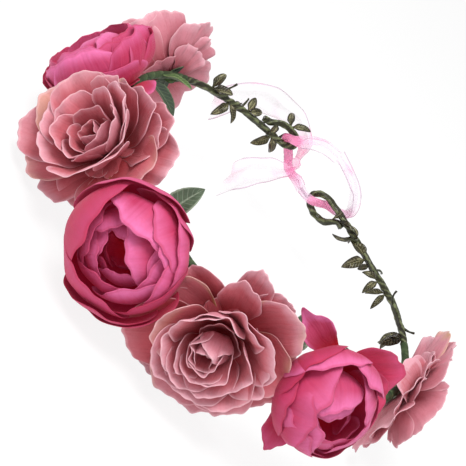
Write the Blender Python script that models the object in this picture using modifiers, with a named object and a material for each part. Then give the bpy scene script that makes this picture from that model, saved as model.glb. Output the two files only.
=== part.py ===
"""Flower crown: a bendable wire wreath with silk flowers, leaf vine arms and a tied ribbon.

Metres, +Z up. The origin is the centre of the wire ring, in the plane of the ring. The front of
the crown faces -Y. A place on the ring is an angle: 0 at the front, positive towards +X.
"""

from collections import namedtuple
from math import asin, atan2, cos, degrees, hypot, pi, radians, sin

import bmesh
import bpy
from mathutils import Matrix, Vector

# Band
RING_RADIUS = 0.090
WIRE_RADIUS = 0.0007
WIRE_CLEARANCE = 0.0003
VINE_RADIUS = 0.0018
FLEX_ANGLE = 114.0
FLEX_GAP = 0.0008
BAND_STEP = 8.0

# Gap between pieces that touch
FIT = 0.0003

# Eyelets at the ends of the arms
LEFT_EYELET_START = 153.0
RIGHT_EYELET_START = 169.0
LEFT_EYELET_HALF_HEIGHT = 0.0044
RIGHT_EYELET_HALF_HEIGHT = 0.0056
EYELET_HALF_LENGTH = 0.0085
EYELET_TAIL = 0.006
EYELET_TAIL_SHARES = (0.3, 1.0)
EYELET_POINTS = 14
EYELET_TURN = 230.0
RIGHT_ARM_SAG = 0.0012
RIGHT_ARM_BOW = 0.0016
SAG_START = 132.0

# Flowers
PETAL_THICKNESS = 0.0007
STEM_RADIUS = 0.0012
SEAT_STANDOFF = 0.0026
PETAL_CLEARANCE = 0.0006
REST_LEVEL = -0.0345
PEG_LENGTH = 0.0033
STEM_SHARES = (0.0, 0.25, 0.5, 0.75)
LAYER_LIFT = 0.0013
LAYER_STEP = PETAL_THICKNESS + 3.0 * FIT
OUTER_STEPS, OUTER_RINGS = 21, 5
INNER_STEPS, INNER_RINGS = 15, 4
BUD_SEGMENTS, BUD_RINGS = 10, 7
BUD_TAPER = 0.12
FREE_SHARE = 0.3

# Leaves: each station's share of the length and of the half width, from the neck to the tip
LEAF_FLATNESS = 0.16
NECK_RADIUS = 0.0006
NECK_OFFSET = VINE_RADIUS + FIT + NECK_RADIUS
LEAF_STATIONS = ((0.22, 0.35), (0.45, 1.0), (0.72, 0.78), (1.0, 0.06))

# Ribbon
RIBBON_WIDTH = 0.022
RIBBON_THICKNESS = 0.0005
RIBBON_SPLIT = 0.0006
RIBBON_STEPS = 3
KNOT_RADIUS = 0.0036
KNOT_ANGLE = -168.4
KNOT_HEIGHT = -0.0028

# The ribbon's routes: angle on the ring, distance outside the ring, height, share of its width.
# The loop goes through both eyelets and is halved where it crosses the back of the crown.
RibbonPoint = namedtuple("RibbonPoint", "angle out height spread")
SPLIT_ANGLE = 184.0
SPLIT_HALF = degrees(RIBBON_SPLIT / 2.0 / RING_RADIUS)
KNOT_SEAT = KNOT_HEIGHT - KNOT_RADIUS - FIT - RIBBON_THICKNESS
LOOP_LEFT = (
    RibbonPoint(SPLIT_ANGLE + SPLIT_HALF, -0.0010, -0.0085, 0.26),
    RibbonPoint(187.0, 0.0002, -0.0075, 0.20),
    RibbonPoint(KNOT_ANGLE, 0.0010, KNOT_SEAT, 0.18),
    RibbonPoint(-165.5, 0.0042, -0.0035, 0.18),
    RibbonPoint(-162.0, 0.0046, 0.0015, 0.18),
    RibbonPoint(-159.8, 0.0000, 0.0044, 0.16),
    RibbonPoint(-161.7, -0.0042, 0.0075, 0.18),
    RibbonPoint(-166.0, -0.0035, 0.0115, 0.30),
    RibbonPoint(189.5, -0.0015, 0.0148, 0.50),
    RibbonPoint(SPLIT_ANGLE + SPLIT_HALF, 0.0000, 0.0162, 0.60),
)
LOOP_RIGHT = (
    RibbonPoint(SPLIT_ANGLE - SPLIT_HALF, -0.0010, -0.0085, 0.26),
    RibbonPoint(180.8, -0.0044, -0.0086, 0.20),
    RibbonPoint(178.2, -0.0036, -0.0074, 0.18),
    RibbonPoint(176.2, 0.0000, -0.0066, 0.16),
    RibbonPoint(174.3, 0.0044, -0.0055, 0.18),
    RibbonPoint(170.5, 0.0054, -0.0035, 0.20),
    RibbonPoint(168.0, 0.0054, 0.0010, 0.22),
    RibbonPoint(170.0, 0.0040, 0.0065, 0.35),
    RibbonPoint(175.0, 0.0020, 0.0125, 0.50),
    RibbonPoint(SPLIT_ANGLE - SPLIT_HALF, 0.0000, 0.0162, 0.60),
)
TAIL_START = KNOT_RADIUS + FIT + RIBBON_THICKNESS
INNER_TAIL = (
    RibbonPoint(KNOT_ANGLE, -TAIL_START, KNOT_HEIGHT, 0.14),
    RibbonPoint(-168.0, -0.0065, -0.0060, 0.30),
    RibbonPoint(-163.0, -0.0080, -0.0135, 0.50),
    RibbonPoint(-157.0, -0.0130, -0.0210, 0.62),
    RibbonPoint(-151.0, -0.0200, -0.0265, 0.66),
)
OUTER_TAIL = (
    RibbonPoint(KNOT_ANGLE, TAIL_START, KNOT_HEIGHT + KNOT_RADIUS / 2.0, 0.14),
    RibbonPoint(-166.0, 0.0085, 0.0070, 0.25),
    RibbonPoint(-157.0, 0.0095, 0.0110, 0.40),
    RibbonPoint(-148.0, 0.0095, 0.0080, 0.50),
    RibbonPoint(-141.0, 0.0090, -0.0010, 0.55),
    RibbonPoint(-137.0, 0.0085, -0.0120, 0.55),
)

# A bloom: how many petals it shows, how deep its cup is, how far round its rim comes, how deep the
# notches between petals are (degrees), then the inner cup and the furled heart
Bloom = namedtuple("Bloom", "petals depth rim notch inner_radius inner_depth inner_rim "
                            "heart_radius heart_depth")
PEONY = Bloom(7, 0.0150, 92.0, 24.0, 0.0200, 0.0135, 88.0, 0.0095, 0.0110)
OPEN_PEONY = Bloom(7, 0.0095, 84.0, 20.0, 0.0190, 0.0110, 80.0, 0.0090, 0.0080)
RANUNCULUS = Bloom(5, 0.0195, 112.0, 20.0, 0.0215, 0.0172, 118.0, 0.0150, 0.0140)

# Where each flower is seated on the band: its angle and height there, and where its face turns
# to: its heading, counted as the angles on the ring are, and its tilt above the horizontal
Flower = namedtuple("Flower", "name bloom angle height heading tilt radius colour")
DUSTY_PINK = (0.58, 0.17, 0.21)
HOT_PINK = (0.68, 0.045, 0.16)
FLOWERS = (
    Flower("peony_left_rear", PEONY, -110.0, -0.0055, -112.0, 0.0, 0.0305, DUSTY_PINK),
    Flower("ranunculus_left", RANUNCULUS, -77.0, -0.0085, -82.0, 22.0, 0.0260, HOT_PINK),
    Flower("peony_left_front", PEONY, -46.5, -0.0060, -37.0, 12.0, 0.0315, DUSTY_PINK),
    Flower("ranunculus_front_left", RANUNCULUS, -18.5, -0.0115, -6.0, 8.0, 0.0265, HOT_PINK),
    Flower("peony_front", PEONY, 10.0, -0.0045, 10.0, -2.0, 0.0330, DUSTY_PINK),
    Flower("ranunculus_front_right", RANUNCULUS, 36.0, 0.0038, 33.5, 18.0, 0.0255, HOT_PINK),
    Flower("peony_right_rear", OPEN_PEONY, 94.0, -0.0063, 97.0, 4.0, 0.0300, DUSTY_PINK),
)

# Cloth leaves between the flowers: angle, heading and rise of the tip, length, half width
ClothLeaf = namedtuple("ClothLeaf", "angle heading rise length half_width colour")
GREY_GREEN = (0.16, 0.24, 0.13)
BRIGHT_GREEN = (0.15, 0.30, 0.06)
DARK_GREEN = (0.06, 0.11, 0.05)
CLOTH_LEAVES = (
    ClothLeaf(-99.0, 100.0, 35.0, 0.014, 0.0045, BRIGHT_GREEN),
    ClothLeaf(-88.0, 75.0, 12.0, 0.020, 0.0050, DARK_GREEN),
    ClothLeaf(-22.0, 172.0, 76.0, 0.018, 0.0048, GREY_GREEN),
    ClothLeaf(-6.0, 150.0, 20.0, 0.014, 0.0035, DARK_GREEN),
    ClothLeaf(27.0, 195.0, 62.0, 0.020, 0.0050, GREY_GREEN),
    ClothLeaf(62.0, -110.0, 30.0, 0.018, 0.0045, DARK_GREEN),
    ClothLeaf(84.0, -75.0, 42.0, 0.014, 0.0045, BRIGHT_GREEN),
)

# Leaf pairs on the arms: angle, height above the middle of the vine, heading and rise of each tip,
# length, half width
VinePair = namedtuple("VinePair", "angle lift tips length half_width")
LEFT_PAIRS = (
    VinePair(127.0, 0.0, ((110.0, 40.0), (-160.0, 55.0)), 0.0105, 0.0026),
    VinePair(136.0, 0.0, ((5.0, -30.0), (95.0, -20.0)), 0.0095, 0.0026),
    VinePair(144.0, 0.0, ((120.0, 40.0), (-140.0, 60.0)), 0.0075, 0.0024),
    VinePair(156.0, 0.0, ((95.0, -35.0), (-20.0, -50.0)), 0.0095, 0.0026),
    VinePair(158.4, 2.0 * LEFT_EYELET_HALF_HEIGHT, ((105.0, 50.0), (-130.0, 25.0)), 0.0095, 0.0022),
)
RIGHT_PAIRS = (
    VinePair(116.5, 0.0, ((-55.0, -10.0), (-145.0, -50.0)), 0.0120, 0.0036),
    VinePair(137.0, 0.0, ((-70.0, -30.0), (0.0, -40.0)), 0.0090, 0.0018),
    VinePair(142.5, 0.0, ((-15.0, -40.0), (-98.0, -12.0)), 0.0085, 0.0022),
    VinePair(151.5, 0.0, ((-30.0, -35.0), (-100.0, 10.0)), 0.0115, 0.0032),
    VinePair(161.0, 0.0, ((-30.0, -50.0), (150.0, -35.0)), 0.0085, 0.0026),
)

# The bare arms either side of the opening at the back. An eyelet stands on the ring when rising
# is 1 and hangs below it when rising is -1; an arm dips by its sag at the end and its bow midway.
Arm = namedtuple("Arm", "name side start half_height rising sag bow pairs")
ARMS = (
    Arm("left_arm", -1.0, LEFT_EYELET_START, LEFT_EYELET_HALF_HEIGHT, 1.0, 0.0, 0.0, LEFT_PAIRS),
    Arm("right_arm", 1.0, RIGHT_EYELET_START, RIGHT_EYELET_HALF_HEIGHT, -1.0, RIGHT_ARM_SAG,
        RIGHT_ARM_BOW, RIGHT_PAIRS),
)


# ---------------------------------------------------------------- scene and materials

def clear_scene():
    for thing in list(bpy.data.objects):
        bpy.data.objects.remove(thing, do_unlink=True)


def new_collection(name):
    collection = bpy.data.collections.new(name)
    bpy.context.scene.collection.children.link(collection)
    return collection


def material(name, colour, roughness, metallic=0.0):
    made = bpy.data.materials.new(name)
    made.use_nodes = True
    shader = made.node_tree.nodes["Principled BSDF"]
    shader.inputs["Base Color"].default_value = (*colour, 1.0)
    shader.inputs["Roughness"].default_value = roughness
    shader.inputs["Metallic"].default_value = metallic
    return made


def add_object(name, data, finish):
    data.materials.append(finish)
    thing = bpy.data.objects.new(name, data)
    crown.objects.link(thing)
    return thing


# ---------------------------------------------------------------- places on the ring

def outward(angle):
    """The level direction away from the ring's centre at an angle."""
    return Vector((sin(radians(angle)), -cos(radians(angle)), 0.0))


def on_ring(angle, radius=RING_RADIUS, height=0.0):
    return outward(angle) * radius + Vector((0.0, 0.0, height))


def direction(heading, rise):
    return outward(heading) * cos(radians(rise)) + Vector((0.0, 0.0, sin(radians(rise))))


def frame_at(place, facing):
    """A frame at a place whose Z is the way it faces, with X level and Y upwards."""
    across = Vector((0.0, 0.0, 1.0)).cross(facing).normalized()
    up = facing.cross(across)
    turned = Matrix((across, up, facing)).transposed().to_4x4()
    return Matrix.Translation(place) @ turned


# ---------------------------------------------------------------- wires and tubes

def poly_curve(name, points, radius, finish, resolution=2, caps=True, radii=None):
    data = bpy.data.curves.new(name, "CURVE")
    data.dimensions = "3D"
    data.bevel_depth = radius
    data.bevel_resolution = resolution
    data.use_fill_caps = caps
    spline = data.splines.new("POLY")
    spline.points.add(len(points) - 1)
    for index, place in enumerate(points):
        spline.points[index].co = (*place, 1.0)
        spline.points[index].radius = radii[index] if radii else 1.0
    return add_object(name, data, finish)


def add_tube(name, points, finish):
    """The wrapped vine: a tube whose bore clears the wire inside it."""
    tube = poly_curve(name, points, VINE_RADIUS, finish, caps=False)
    wall = tube.modifiers.new("Wall", "SOLIDIFY")
    wall.thickness = VINE_RADIUS - WIRE_RADIUS - WIRE_CLEARANCE
    wall.offset = -1.0
    return tube


def arc_points(start, stop):
    count = max(2, round(abs(stop - start) / BAND_STEP))
    return [on_ring(start + (stop - start) * i / count) for i in range(count + 1)]


def build_band():
    points = arc_points(-FLEX_ANGLE, FLEX_ANGLE)
    poly_curve("front_core_wire", points, WIRE_RADIUS, steel, resolution=1)
    add_tube("front_band_wrap", points, tape_green)


def arm_place(arm, angle):
    """A point on the middle of an arm's vine, which dips towards its eyelet."""
    share = min(1.0, max(0.0, (angle - SAG_START) / (arm.start - SAG_START)))
    return on_ring(arm.side * angle, height=-arm.sag * share - arm.bow * sin(pi * share))


def arm_angles(arm):
    flex = FLEX_ANGLE + degrees(FLEX_GAP / RING_RADIUS)
    count = round((arm.start - flex) / BAND_STEP)
    return [flex + (arm.start - flex) * i / count for i in range(count + 1)]


def arm_route(arm):
    """From the flex point along the ring, round the eyelet, and back beside the arm."""
    points = [arm_place(arm, angle) for angle in arm_angles(arm)]
    centre = arm.start + degrees(EYELET_HALF_LENGTH / RING_RADIUS)
    for index in range(EYELET_POINTS + 1):
        turn = radians(-90.0 + EYELET_TURN * index / EYELET_POINTS)
        angle = centre + degrees(EYELET_HALF_LENGTH * cos(turn) / RING_RADIUS)
        height = arm.rising * arm.half_height * (1.0 + sin(turn)) - arm.sag
        points.append(on_ring(arm.side * angle, height=height))
    beside = arm.rising * (2.0 * VINE_RADIUS + 2.0 * FIT) - arm.sag
    for share in EYELET_TAIL_SHARES:
        back = arm.start - degrees(EYELET_TAIL * share / RING_RADIUS)
        points.append(on_ring(arm.side * back, height=beside))
    return points


def build_arms():
    for arm in ARMS:
        points = arm_route(arm)
        poly_curve(f"{arm.name}_core_wire", points, WIRE_RADIUS, steel, resolution=1)
        add_tube(f"{arm.name}_vine", points, vine_green)
        for number, pair in enumerate(arm.pairs, 1):
            add_vine_pair(f"{arm.name}_leaf_pair_{number}", arm, pair)


# ---------------------------------------------------------------- flowers

# One layer of petals as a cup: its size, how far its hole sits up the stem, how far inside the
# flower's outer face it stays, and how many steps round and rings up it is made of
Layer = namedtuple("Layer", "radius depth rim lift inset steps rings")


def boundary_angle(near, far):
    """Where a flower meets its neighbour, shared out by their sizes."""
    return near.angle + (far.angle - near.angle) * near.radius / (near.radius + far.radius)


def flower_limits(index):
    """The planes either side that a flower stays between: ring angle and the side it is on."""
    flower = FLOWERS[index]
    limits = []
    if index > 0:
        limits.append((boundary_angle(flower, FLOWERS[index - 1]), 1.0))
    if index < len(FLOWERS) - 1:
        limits.append((boundary_angle(flower, FLOWERS[index + 1]), -1.0))
    return limits


def pressed(place, limits, inset):
    """A petal point pressed clear of the band, of the neighbouring flowers and of the table."""
    out = hypot(place.x, place.y)
    least = RING_RADIUS + VINE_RADIUS + PETAL_CLEARANCE + inset
    if out < least:
        place = Vector((place.x * least / out, place.y * least / out, place.z))
    for angle, side in limits:
        normal = outward(angle + 90.0) * side
        short = inset + FIT / 2.0 - place.dot(normal)
        if short > 0.0 and place.dot(outward(angle)) > 0.0:
            place = place + normal * short
    place.z = max(place.z, REST_LEVEL + inset)
    return place


def facing_of(flower):
    return direction(flower.heading, flower.tilt)


def seat_place(flower):
    return on_ring(flower.angle, RING_RADIUS + VINE_RADIUS + SEAT_STANDOFF, flower.height)


def flower_frame(flower, lift):
    """The frame on a flower's stem that its petals open round, a height above the seat."""
    facing = facing_of(flower)
    return frame_at(seat_place(flower) + facing * lift, facing)


def spun_cup(layer, start):
    """An open egg-shaped cup about Z with a hole in the bottom, its wall facing outwards."""
    bm = bmesh.new()
    profile = []
    for ring in range(layer.rings + 1):
        beta = start + (radians(layer.rim) - start) * ring / layer.rings
        profile.append(bm.verts.new((layer.radius * sin(beta), 0.0, layer.depth * (1.0 - cos(beta)))))
    edges = [bm.edges.new(pair) for pair in zip(profile, profile[1:])]
    bmesh.ops.spin(bm, geom=profile + edges, cent=(0, 0, 0), axis=(0, 0, 1), angle=2.0 * pi,
                   steps=layer.steps, use_merge=True)
    bmesh.ops.recalc_face_normals(bm, faces=bm.faces)
    if max(bm.faces, key=lambda face: face.calc_center_median().z).normal.dot(profile[-1].co) < 0.0:
        bmesh.ops.reverse_faces(bm, faces=bm.faces)
    return bm


def add_cup(name, flower, limits, layer, finish):
    """A ring of petals with notches between them, with a hole for the stem."""
    start = asin((STEM_RADIUS + FIT) / layer.radius)
    bm = spun_cup(layer, start)
    placed = flower_frame(flower, layer.lift)
    back = placed.inverted()
    base = layer.depth * (1.0 - cos(start))
    for vert in bm.verts:
        theta = atan2(vert.co.y, vert.co.x)
        beta = atan2(hypot(vert.co.x, vert.co.y) / layer.radius, 1.0 - vert.co.z / layer.depth)
        share = (beta - start) / (radians(layer.rim) - start)
        lobe = abs(cos(flower.bloom.petals * theta / 2.0))
        bent = beta - radians(flower.bloom.notch) * share ** 3 * (1.0 - lobe)
        out = layer.radius * sin(bent)
        local = Vector((out * cos(theta), out * sin(theta), layer.depth * (1.0 - cos(bent)) - base))
        free = share > FREE_SHARE
        vert.co = back @ pressed(placed @ local, limits, layer.inset) if free else local
    mesh = bpy.data.meshes.new(name)
    bm.to_mesh(mesh)
    bm.free()
    cup = add_object(name, mesh, finish)
    cup.matrix_world = placed
    wall = cup.modifiers.new("Petal", "SOLIDIFY")
    wall.thickness = PETAL_THICKNESS
    wall.offset = -1.0


def add_heart(name, flower, limits, inset, finish):
    """The furled petals in the middle, one closed bud on the end of the stem."""
    bloom = flower.bloom
    bm = bmesh.new()
    bmesh.ops.create_uvsphere(bm, u_segments=BUD_SEGMENTS, v_segments=BUD_RINGS, radius=1.0)
    placed = flower_frame(flower, PEG_LENGTH + FIT)
    back = placed.inverted()
    for vert in bm.verts:
        wide = bloom.heart_radius * (1.0 - BUD_TAPER * vert.co.z)
        local = Vector((vert.co.x * wide, vert.co.y * wide, bloom.heart_depth * (1.0 + vert.co.z)))
        free = local.z > FREE_SHARE * bloom.heart_depth
        vert.co = back @ pressed(placed @ local, limits, inset) if free else local
    mesh = bpy.data.meshes.new(name)
    bm.to_mesh(mesh)
    bm.free()
    add_object(name, mesh, finish).matrix_world = placed


def add_stem(name, flower):
    """A wire stem from the band's top or underside, turned into the seat and up through the petals."""
    seat = seat_place(flower)
    rising = 1.0 if flower.height > 0.0 else -1.0
    start = on_ring(flower.angle, height=rising * (VINE_RADIUS + FIT))
    corner = on_ring(flower.angle, height=flower.height)
    points = []
    for share in STEM_SHARES:
        points.append(start.lerp(corner, share).lerp(corner.lerp(seat, share), share))
    points.append(seat)
    points.append(seat + facing_of(flower) * PEG_LENGTH)
    poly_curve(name, points, STEM_RADIUS, stem_green)


def build_flowers():
    for index, flower in enumerate(FLOWERS):
        bloom = flower.bloom
        limits = flower_limits(index)
        outer = Layer(flower.radius, bloom.depth, bloom.rim, 0.0, 0.0, OUTER_STEPS, OUTER_RINGS)
        inner = Layer(bloom.inner_radius, bloom.inner_depth, bloom.inner_rim, LAYER_LIFT, LAYER_STEP,
                      INNER_STEPS, INNER_RINGS)
        cloth = material(f"{flower.name}_cloth", flower.colour, 0.75)
        add_stem(f"{flower.name}_stem", flower)
        add_cup(f"{flower.name}_outer_petals", flower, limits, outer, cloth)
        add_cup(f"{flower.name}_inner_petals", flower, limits, inner, cloth)
        add_heart(f"{flower.name}_heart", flower, limits, 2.0 * LAYER_STEP, cloth)


# ---------------------------------------------------------------- leaves

def leaf_stations(leaf):
    """Distance from the neck and half width at each station of one leaf, neck first."""
    stations = [(0.0, NECK_RADIUS)]
    for at, wide in LEAF_STATIONS:
        stations.append((leaf.length * at, leaf.half_width * wide))
    return stations


def add_leaf(name, points, radii, frame, finish):
    """A leaf is a rod as wide as the leaf at each point, flattened across the leaf's face."""
    leaf = poly_curve(name, points, 1.0, finish, resolution=1, radii=radii)
    leaf.matrix_world = frame


def leaf_frame(place, along, other):
    """A frame whose X runs along a leaf and whose Z, the leaf's thickness, is flattened."""
    normal = along.cross(other).normalized()
    across = normal.cross(along)
    turned = Matrix((along, across, normal * LEAF_FLATNESS)).transposed().to_4x4()
    return Matrix.Translation(place) @ turned


def add_cloth_leaf(name, leaf):
    """A single leaf whose neck lies on the inner top side of the band."""
    away = (Vector((0.0, 0.0, 1.0)) - outward(leaf.angle)).normalized()
    place = on_ring(leaf.angle) + away * NECK_OFFSET
    frame = leaf_frame(place, direction(leaf.heading, leaf.rise), outward(leaf.angle + 90.0))
    stations = leaf_stations(leaf)
    points = [(at, 0.0, 0.0) for at, _ in stations]
    radii = [wide for _, wide in stations]
    add_leaf(name, points, radii, frame, material(f"{name}_cloth", leaf.colour, 0.7))


def add_vine_pair(name, arm, pair):
    """Two leaves on one neck, which lies on the vine."""
    first = direction(*pair.tips[0])
    second = direction(*pair.tips[1])
    tangent = outward(arm.side * pair.angle + 90.0)
    away = first + second
    away = (away - tangent * away.dot(tangent)).normalized()
    place = arm_place(arm, pair.angle) + Vector((0.0, 0.0, pair.lift)) + away * NECK_OFFSET
    frame = leaf_frame(place, first, second)
    back = frame.inverted()
    stations = leaf_stations(pair)
    route = [(place + second * at, wide) for at, wide in reversed(stations)]
    route += [(place + first * at, wide) for at, wide in stations[1:]]
    points = [back @ where for where, _ in route]
    add_leaf(name, points, [wide for _, wide in route], frame, leaf_brown)


def build_cloth_leaves():
    for number, leaf in enumerate(CLOTH_LEAVES, 1):
        add_cloth_leaf(f"cloth_leaf_{number}", leaf)


# ---------------------------------------------------------------- ribbon

def route_place(point):
    return on_ring(point.angle, RING_RADIUS + point.out, point.height)


def smooth_value(before, start, end, after, share):
    """One value on the smooth curve through start and end."""
    first = (end - before) / 2.0
    last = (after - start) / 2.0
    square = share * share
    cube = square * share
    return ((2.0 * cube - 3.0 * square + 1.0) * start + (cube - 2.0 * square + share) * first
            + (3.0 * square - 2.0 * cube) * end + (cube - square) * last)


def smooth_route(points):
    """Points along the smooth curve through a ribbon's route, and the half width at each."""
    rows = [(*route_place(point), point.spread * RIBBON_WIDTH / 2.0) for point in points]
    rows = [rows[0]] + rows + [rows[-1]]
    stations = []
    for index in range(1, len(rows) - 2):
        around = rows[index - 1:index + 3]
        for step in range(RIBBON_STEPS):
            share = step / RIBBON_STEPS
            stations.append([smooth_value(*values, share) for values in zip(*around)])
    stations.append(list(rows[-1]))
    return [(Vector(station[:3]), station[3]) for station in stations]


def add_strip(name, points, hangs):
    """A strip of ribbon along a route: a hanging one faces the ring, a looped one stands on edge."""
    stations = smooth_route(points)
    last = len(stations) - 1
    bm = bmesh.new()
    bmesh.ops.create_grid(bm, x_segments=last, y_segments=1, size=1.0)
    for vert in bm.verts:
        index = round((vert.co.x + 1.0) / 2.0 * last)
        place, half_width = stations[index]
        forward = stations[min(index + 1, last)][0] - stations[max(index - 1, 0)][0]
        out = Vector((place.x, place.y, 0.0)).normalized()
        across = forward.cross(out).normalized() if hangs else out
        vert.co = place + across * half_width * vert.co.y
    mesh = bpy.data.meshes.new(name)
    bm.to_mesh(mesh)
    bm.free()
    strip = add_object(name, mesh, organza)
    wall = strip.modifiers.new("Weave", "SOLIDIFY")
    wall.thickness = RIBBON_THICKNESS
    wall.offset = 0.0
    return strip


def add_knot():
    bm = bmesh.new()
    bmesh.ops.create_uvsphere(bm, u_segments=BUD_SEGMENTS, v_segments=BUD_RINGS, radius=KNOT_RADIUS)
    bmesh.ops.translate(bm, verts=bm.verts, vec=on_ring(KNOT_ANGLE, height=KNOT_HEIGHT))
    mesh = bpy.data.meshes.new("ribbon_knot")
    bm.to_mesh(mesh)
    bm.free()
    add_object("ribbon_knot", mesh, organza)


def build_ribbon():
    add_strip("ribbon_loop_left", LOOP_LEFT, False)
    add_strip("ribbon_loop_right", LOOP_RIGHT, False)
    add_strip("ribbon_inner_tail", INNER_TAIL, True)
    add_strip("ribbon_outer_tail", OUTER_TAIL, True)
    add_knot()


# ---------------------------------------------------------------- build

clear_scene()
crown = new_collection("flower_crown")
steel = material("wire_steel", (0.45, 0.45, 0.46), 0.35, 0.9)
tape_green = material("floral_tape", (0.05, 0.09, 0.03), 0.8)
vine_green = material("vine_wrap", (0.055, 0.075, 0.03), 0.75)
stem_green = material("stem_wrap", (0.08, 0.14, 0.05), 0.8)
organza = material("organza_ribbon", (0.90, 0.70, 0.76), 0.35)
leaf_brown = material("vine_leaf", (0.075, 0.080, 0.030), 0.4)

build_band()
build_arms()
build_flowers()
build_cloth_leaves()
build_ribbon()
bpy.context.view_layer.update()
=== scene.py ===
"""Flower crown: silk flowers, leaves, vine arms and a tied organza ribbon, built round the frame.

Metres, +Z up. The origin is the centre of the wire ring, in the plane of the ring. The front of
the crown faces -Y. A place on the ring is an angle: 0 at the front, positive towards +X.
"""

import random
from collections import namedtuple
from math import cos, degrees, exp, pi, radians, sin, sqrt

import bmesh
import bpy
from mathutils import Matrix, Vector, noise


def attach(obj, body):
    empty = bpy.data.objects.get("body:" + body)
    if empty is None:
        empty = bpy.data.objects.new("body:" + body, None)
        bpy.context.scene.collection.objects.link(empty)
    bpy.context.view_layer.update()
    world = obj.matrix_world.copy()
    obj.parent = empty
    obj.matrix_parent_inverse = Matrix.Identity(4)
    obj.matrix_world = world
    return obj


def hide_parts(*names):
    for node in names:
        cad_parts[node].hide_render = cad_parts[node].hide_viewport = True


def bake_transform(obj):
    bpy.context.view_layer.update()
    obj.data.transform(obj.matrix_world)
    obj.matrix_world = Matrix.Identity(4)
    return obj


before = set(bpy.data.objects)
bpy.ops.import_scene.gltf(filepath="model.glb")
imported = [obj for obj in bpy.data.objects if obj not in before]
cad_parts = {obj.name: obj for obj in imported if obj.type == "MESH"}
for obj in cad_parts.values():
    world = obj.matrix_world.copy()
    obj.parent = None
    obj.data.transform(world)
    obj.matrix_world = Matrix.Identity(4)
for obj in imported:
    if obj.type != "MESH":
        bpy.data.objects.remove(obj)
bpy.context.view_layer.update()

# ---------------------------------------------------------------- sizes

RING_RADIUS = 0.090
VINE_RADIUS = 0.0018
SEAT_STANDOFF = 0.0026
FLEX_ANGLE = 114.0
FIT = 0.0003
EYELET_HALF_LENGTH = 0.0085
EYELET_TURN = 230.0
EYELET_TAIL = 0.006
RIBBON_WIDTH = 0.022
KNOT_RADIUS = 0.0036
KNOT_ANGLE = -168.4
KNOT_HEIGHT = -0.0028
FLOOR_LEVEL = -0.0420
FLOOR_GLOW = 1.05
FLOOR_GLOW_SHARE = 0.80
SKY_STRENGTH = 0.58

# The view: height above the ring's plane, roll of the camera, lens, what it aims at, how far off
VIEW_ELEVATION = 23.31
VIEW_TURN = 50.45
VIEW_LENS = 102.4
VIEW_AIM = Vector((-0.01074, -0.00585, -0.01359))
VIEW_DISTANCE = 0.6

# ---------------------------------------------------------------- places on the ring


def outward(angle):
    """The level direction away from the ring's centre at an angle."""
    return Vector((sin(radians(angle)), -cos(radians(angle)), 0.0))


def on_ring(angle, radius=RING_RADIUS, height=0.0):
    return outward(angle) * radius + Vector((0.0, 0.0, height))


def direction(heading, rise):
    return outward(heading) * cos(radians(rise)) + Vector((0.0, 0.0, sin(radians(rise))))


def frame_at(place, facing):
    """A frame at a place whose Z is the way it faces, with X level and Y upwards."""
    across = Vector((0.0, 0.0, 1.0)).cross(facing).normalized()
    up = facing.cross(across)
    turned = Matrix((across, up, facing)).transposed().to_4x4()
    return Matrix.Translation(place) @ turned


def smooth(low, high, value):
    share = min(1.0, max(0.0, (value - low) / (high - low)))
    return share * share * (3.0 - 2.0 * share)


# ---------------------------------------------------------------- camera and stage

def add_camera():
    data = bpy.data.cameras.new("camera")
    data.lens = VIEW_LENS
    data.sensor_width = 36.0
    data.clip_start = 0.01
    camera = bpy.data.objects.new("camera", data)
    bpy.context.scene.collection.objects.link(camera)
    back = direction(0.0, VIEW_ELEVATION)
    right = Vector((1.0, 0.0, 0.0))
    up = back.cross(right)
    turn = radians(VIEW_TURN)
    across = right * cos(turn) + up * sin(turn)
    upward = up * cos(turn) - right * sin(turn)
    turned = Matrix((across, upward, back)).transposed().to_4x4()
    camera.matrix_world = Matrix.Translation(VIEW_AIM + back * VIEW_DISTANCE) @ turned
    bpy.context.scene.camera = camera


def add_lamp(name, heading, rise, far, size, power):
    data = bpy.data.lights.new(name, "AREA")
    data.shape = "DISK"
    data.size = size
    data.energy = power
    lamp = bpy.data.objects.new(name, data)
    bpy.context.scene.collection.objects.link(lamp)
    away = direction(heading, rise)
    lamp.matrix_world = frame_at(away * far, away)


# ---------------------------------------------------------------- shader maths

class Value:
    """A shader socket that adds Math nodes when it is used in an expression."""

    def __init__(self, tree, socket):
        self.tree = tree
        self.socket = socket

    def math(self, operation, *others, flip=False):
        node = self.tree.nodes.new("ShaderNodeMath")
        node.operation = operation
        terms = [*others, self] if flip else [self, *others]
        for slot, term in zip(node.inputs, terms):
            if isinstance(term, Value):
                self.tree.links.new(term.socket, slot)
            else:
                slot.default_value = term
        return Value(self.tree, node.outputs[0])

    def __add__(self, other):
        return self.math("ADD", other)

    __radd__ = __add__

    def __sub__(self, other):
        return self.math("SUBTRACT", other)

    def __rsub__(self, other):
        return self.math("SUBTRACT", other, flip=True)

    def __mul__(self, other):
        return self.math("MULTIPLY", other)

    __rmul__ = __mul__

    def __pow__(self, other):
        return self.math("POWER", other)

    def sine(self):
        return self.math("SINE")

    def size(self):
        return self.math("ABSOLUTE")

    def most(self, other):
        return self.math("MAXIMUM", other)

    def step(self, low, high):
        """0 below low, 1 above high, smooth between."""
        node = self.tree.nodes.new("ShaderNodeMapRange")
        node.interpolation_type = "SMOOTHSTEP"
        node.inputs["From Min"].default_value = low
        node.inputs["From Max"].default_value = high
        self.tree.links.new(self.socket, node.inputs["Value"])
        return Value(self.tree, node.outputs["Result"])


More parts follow.
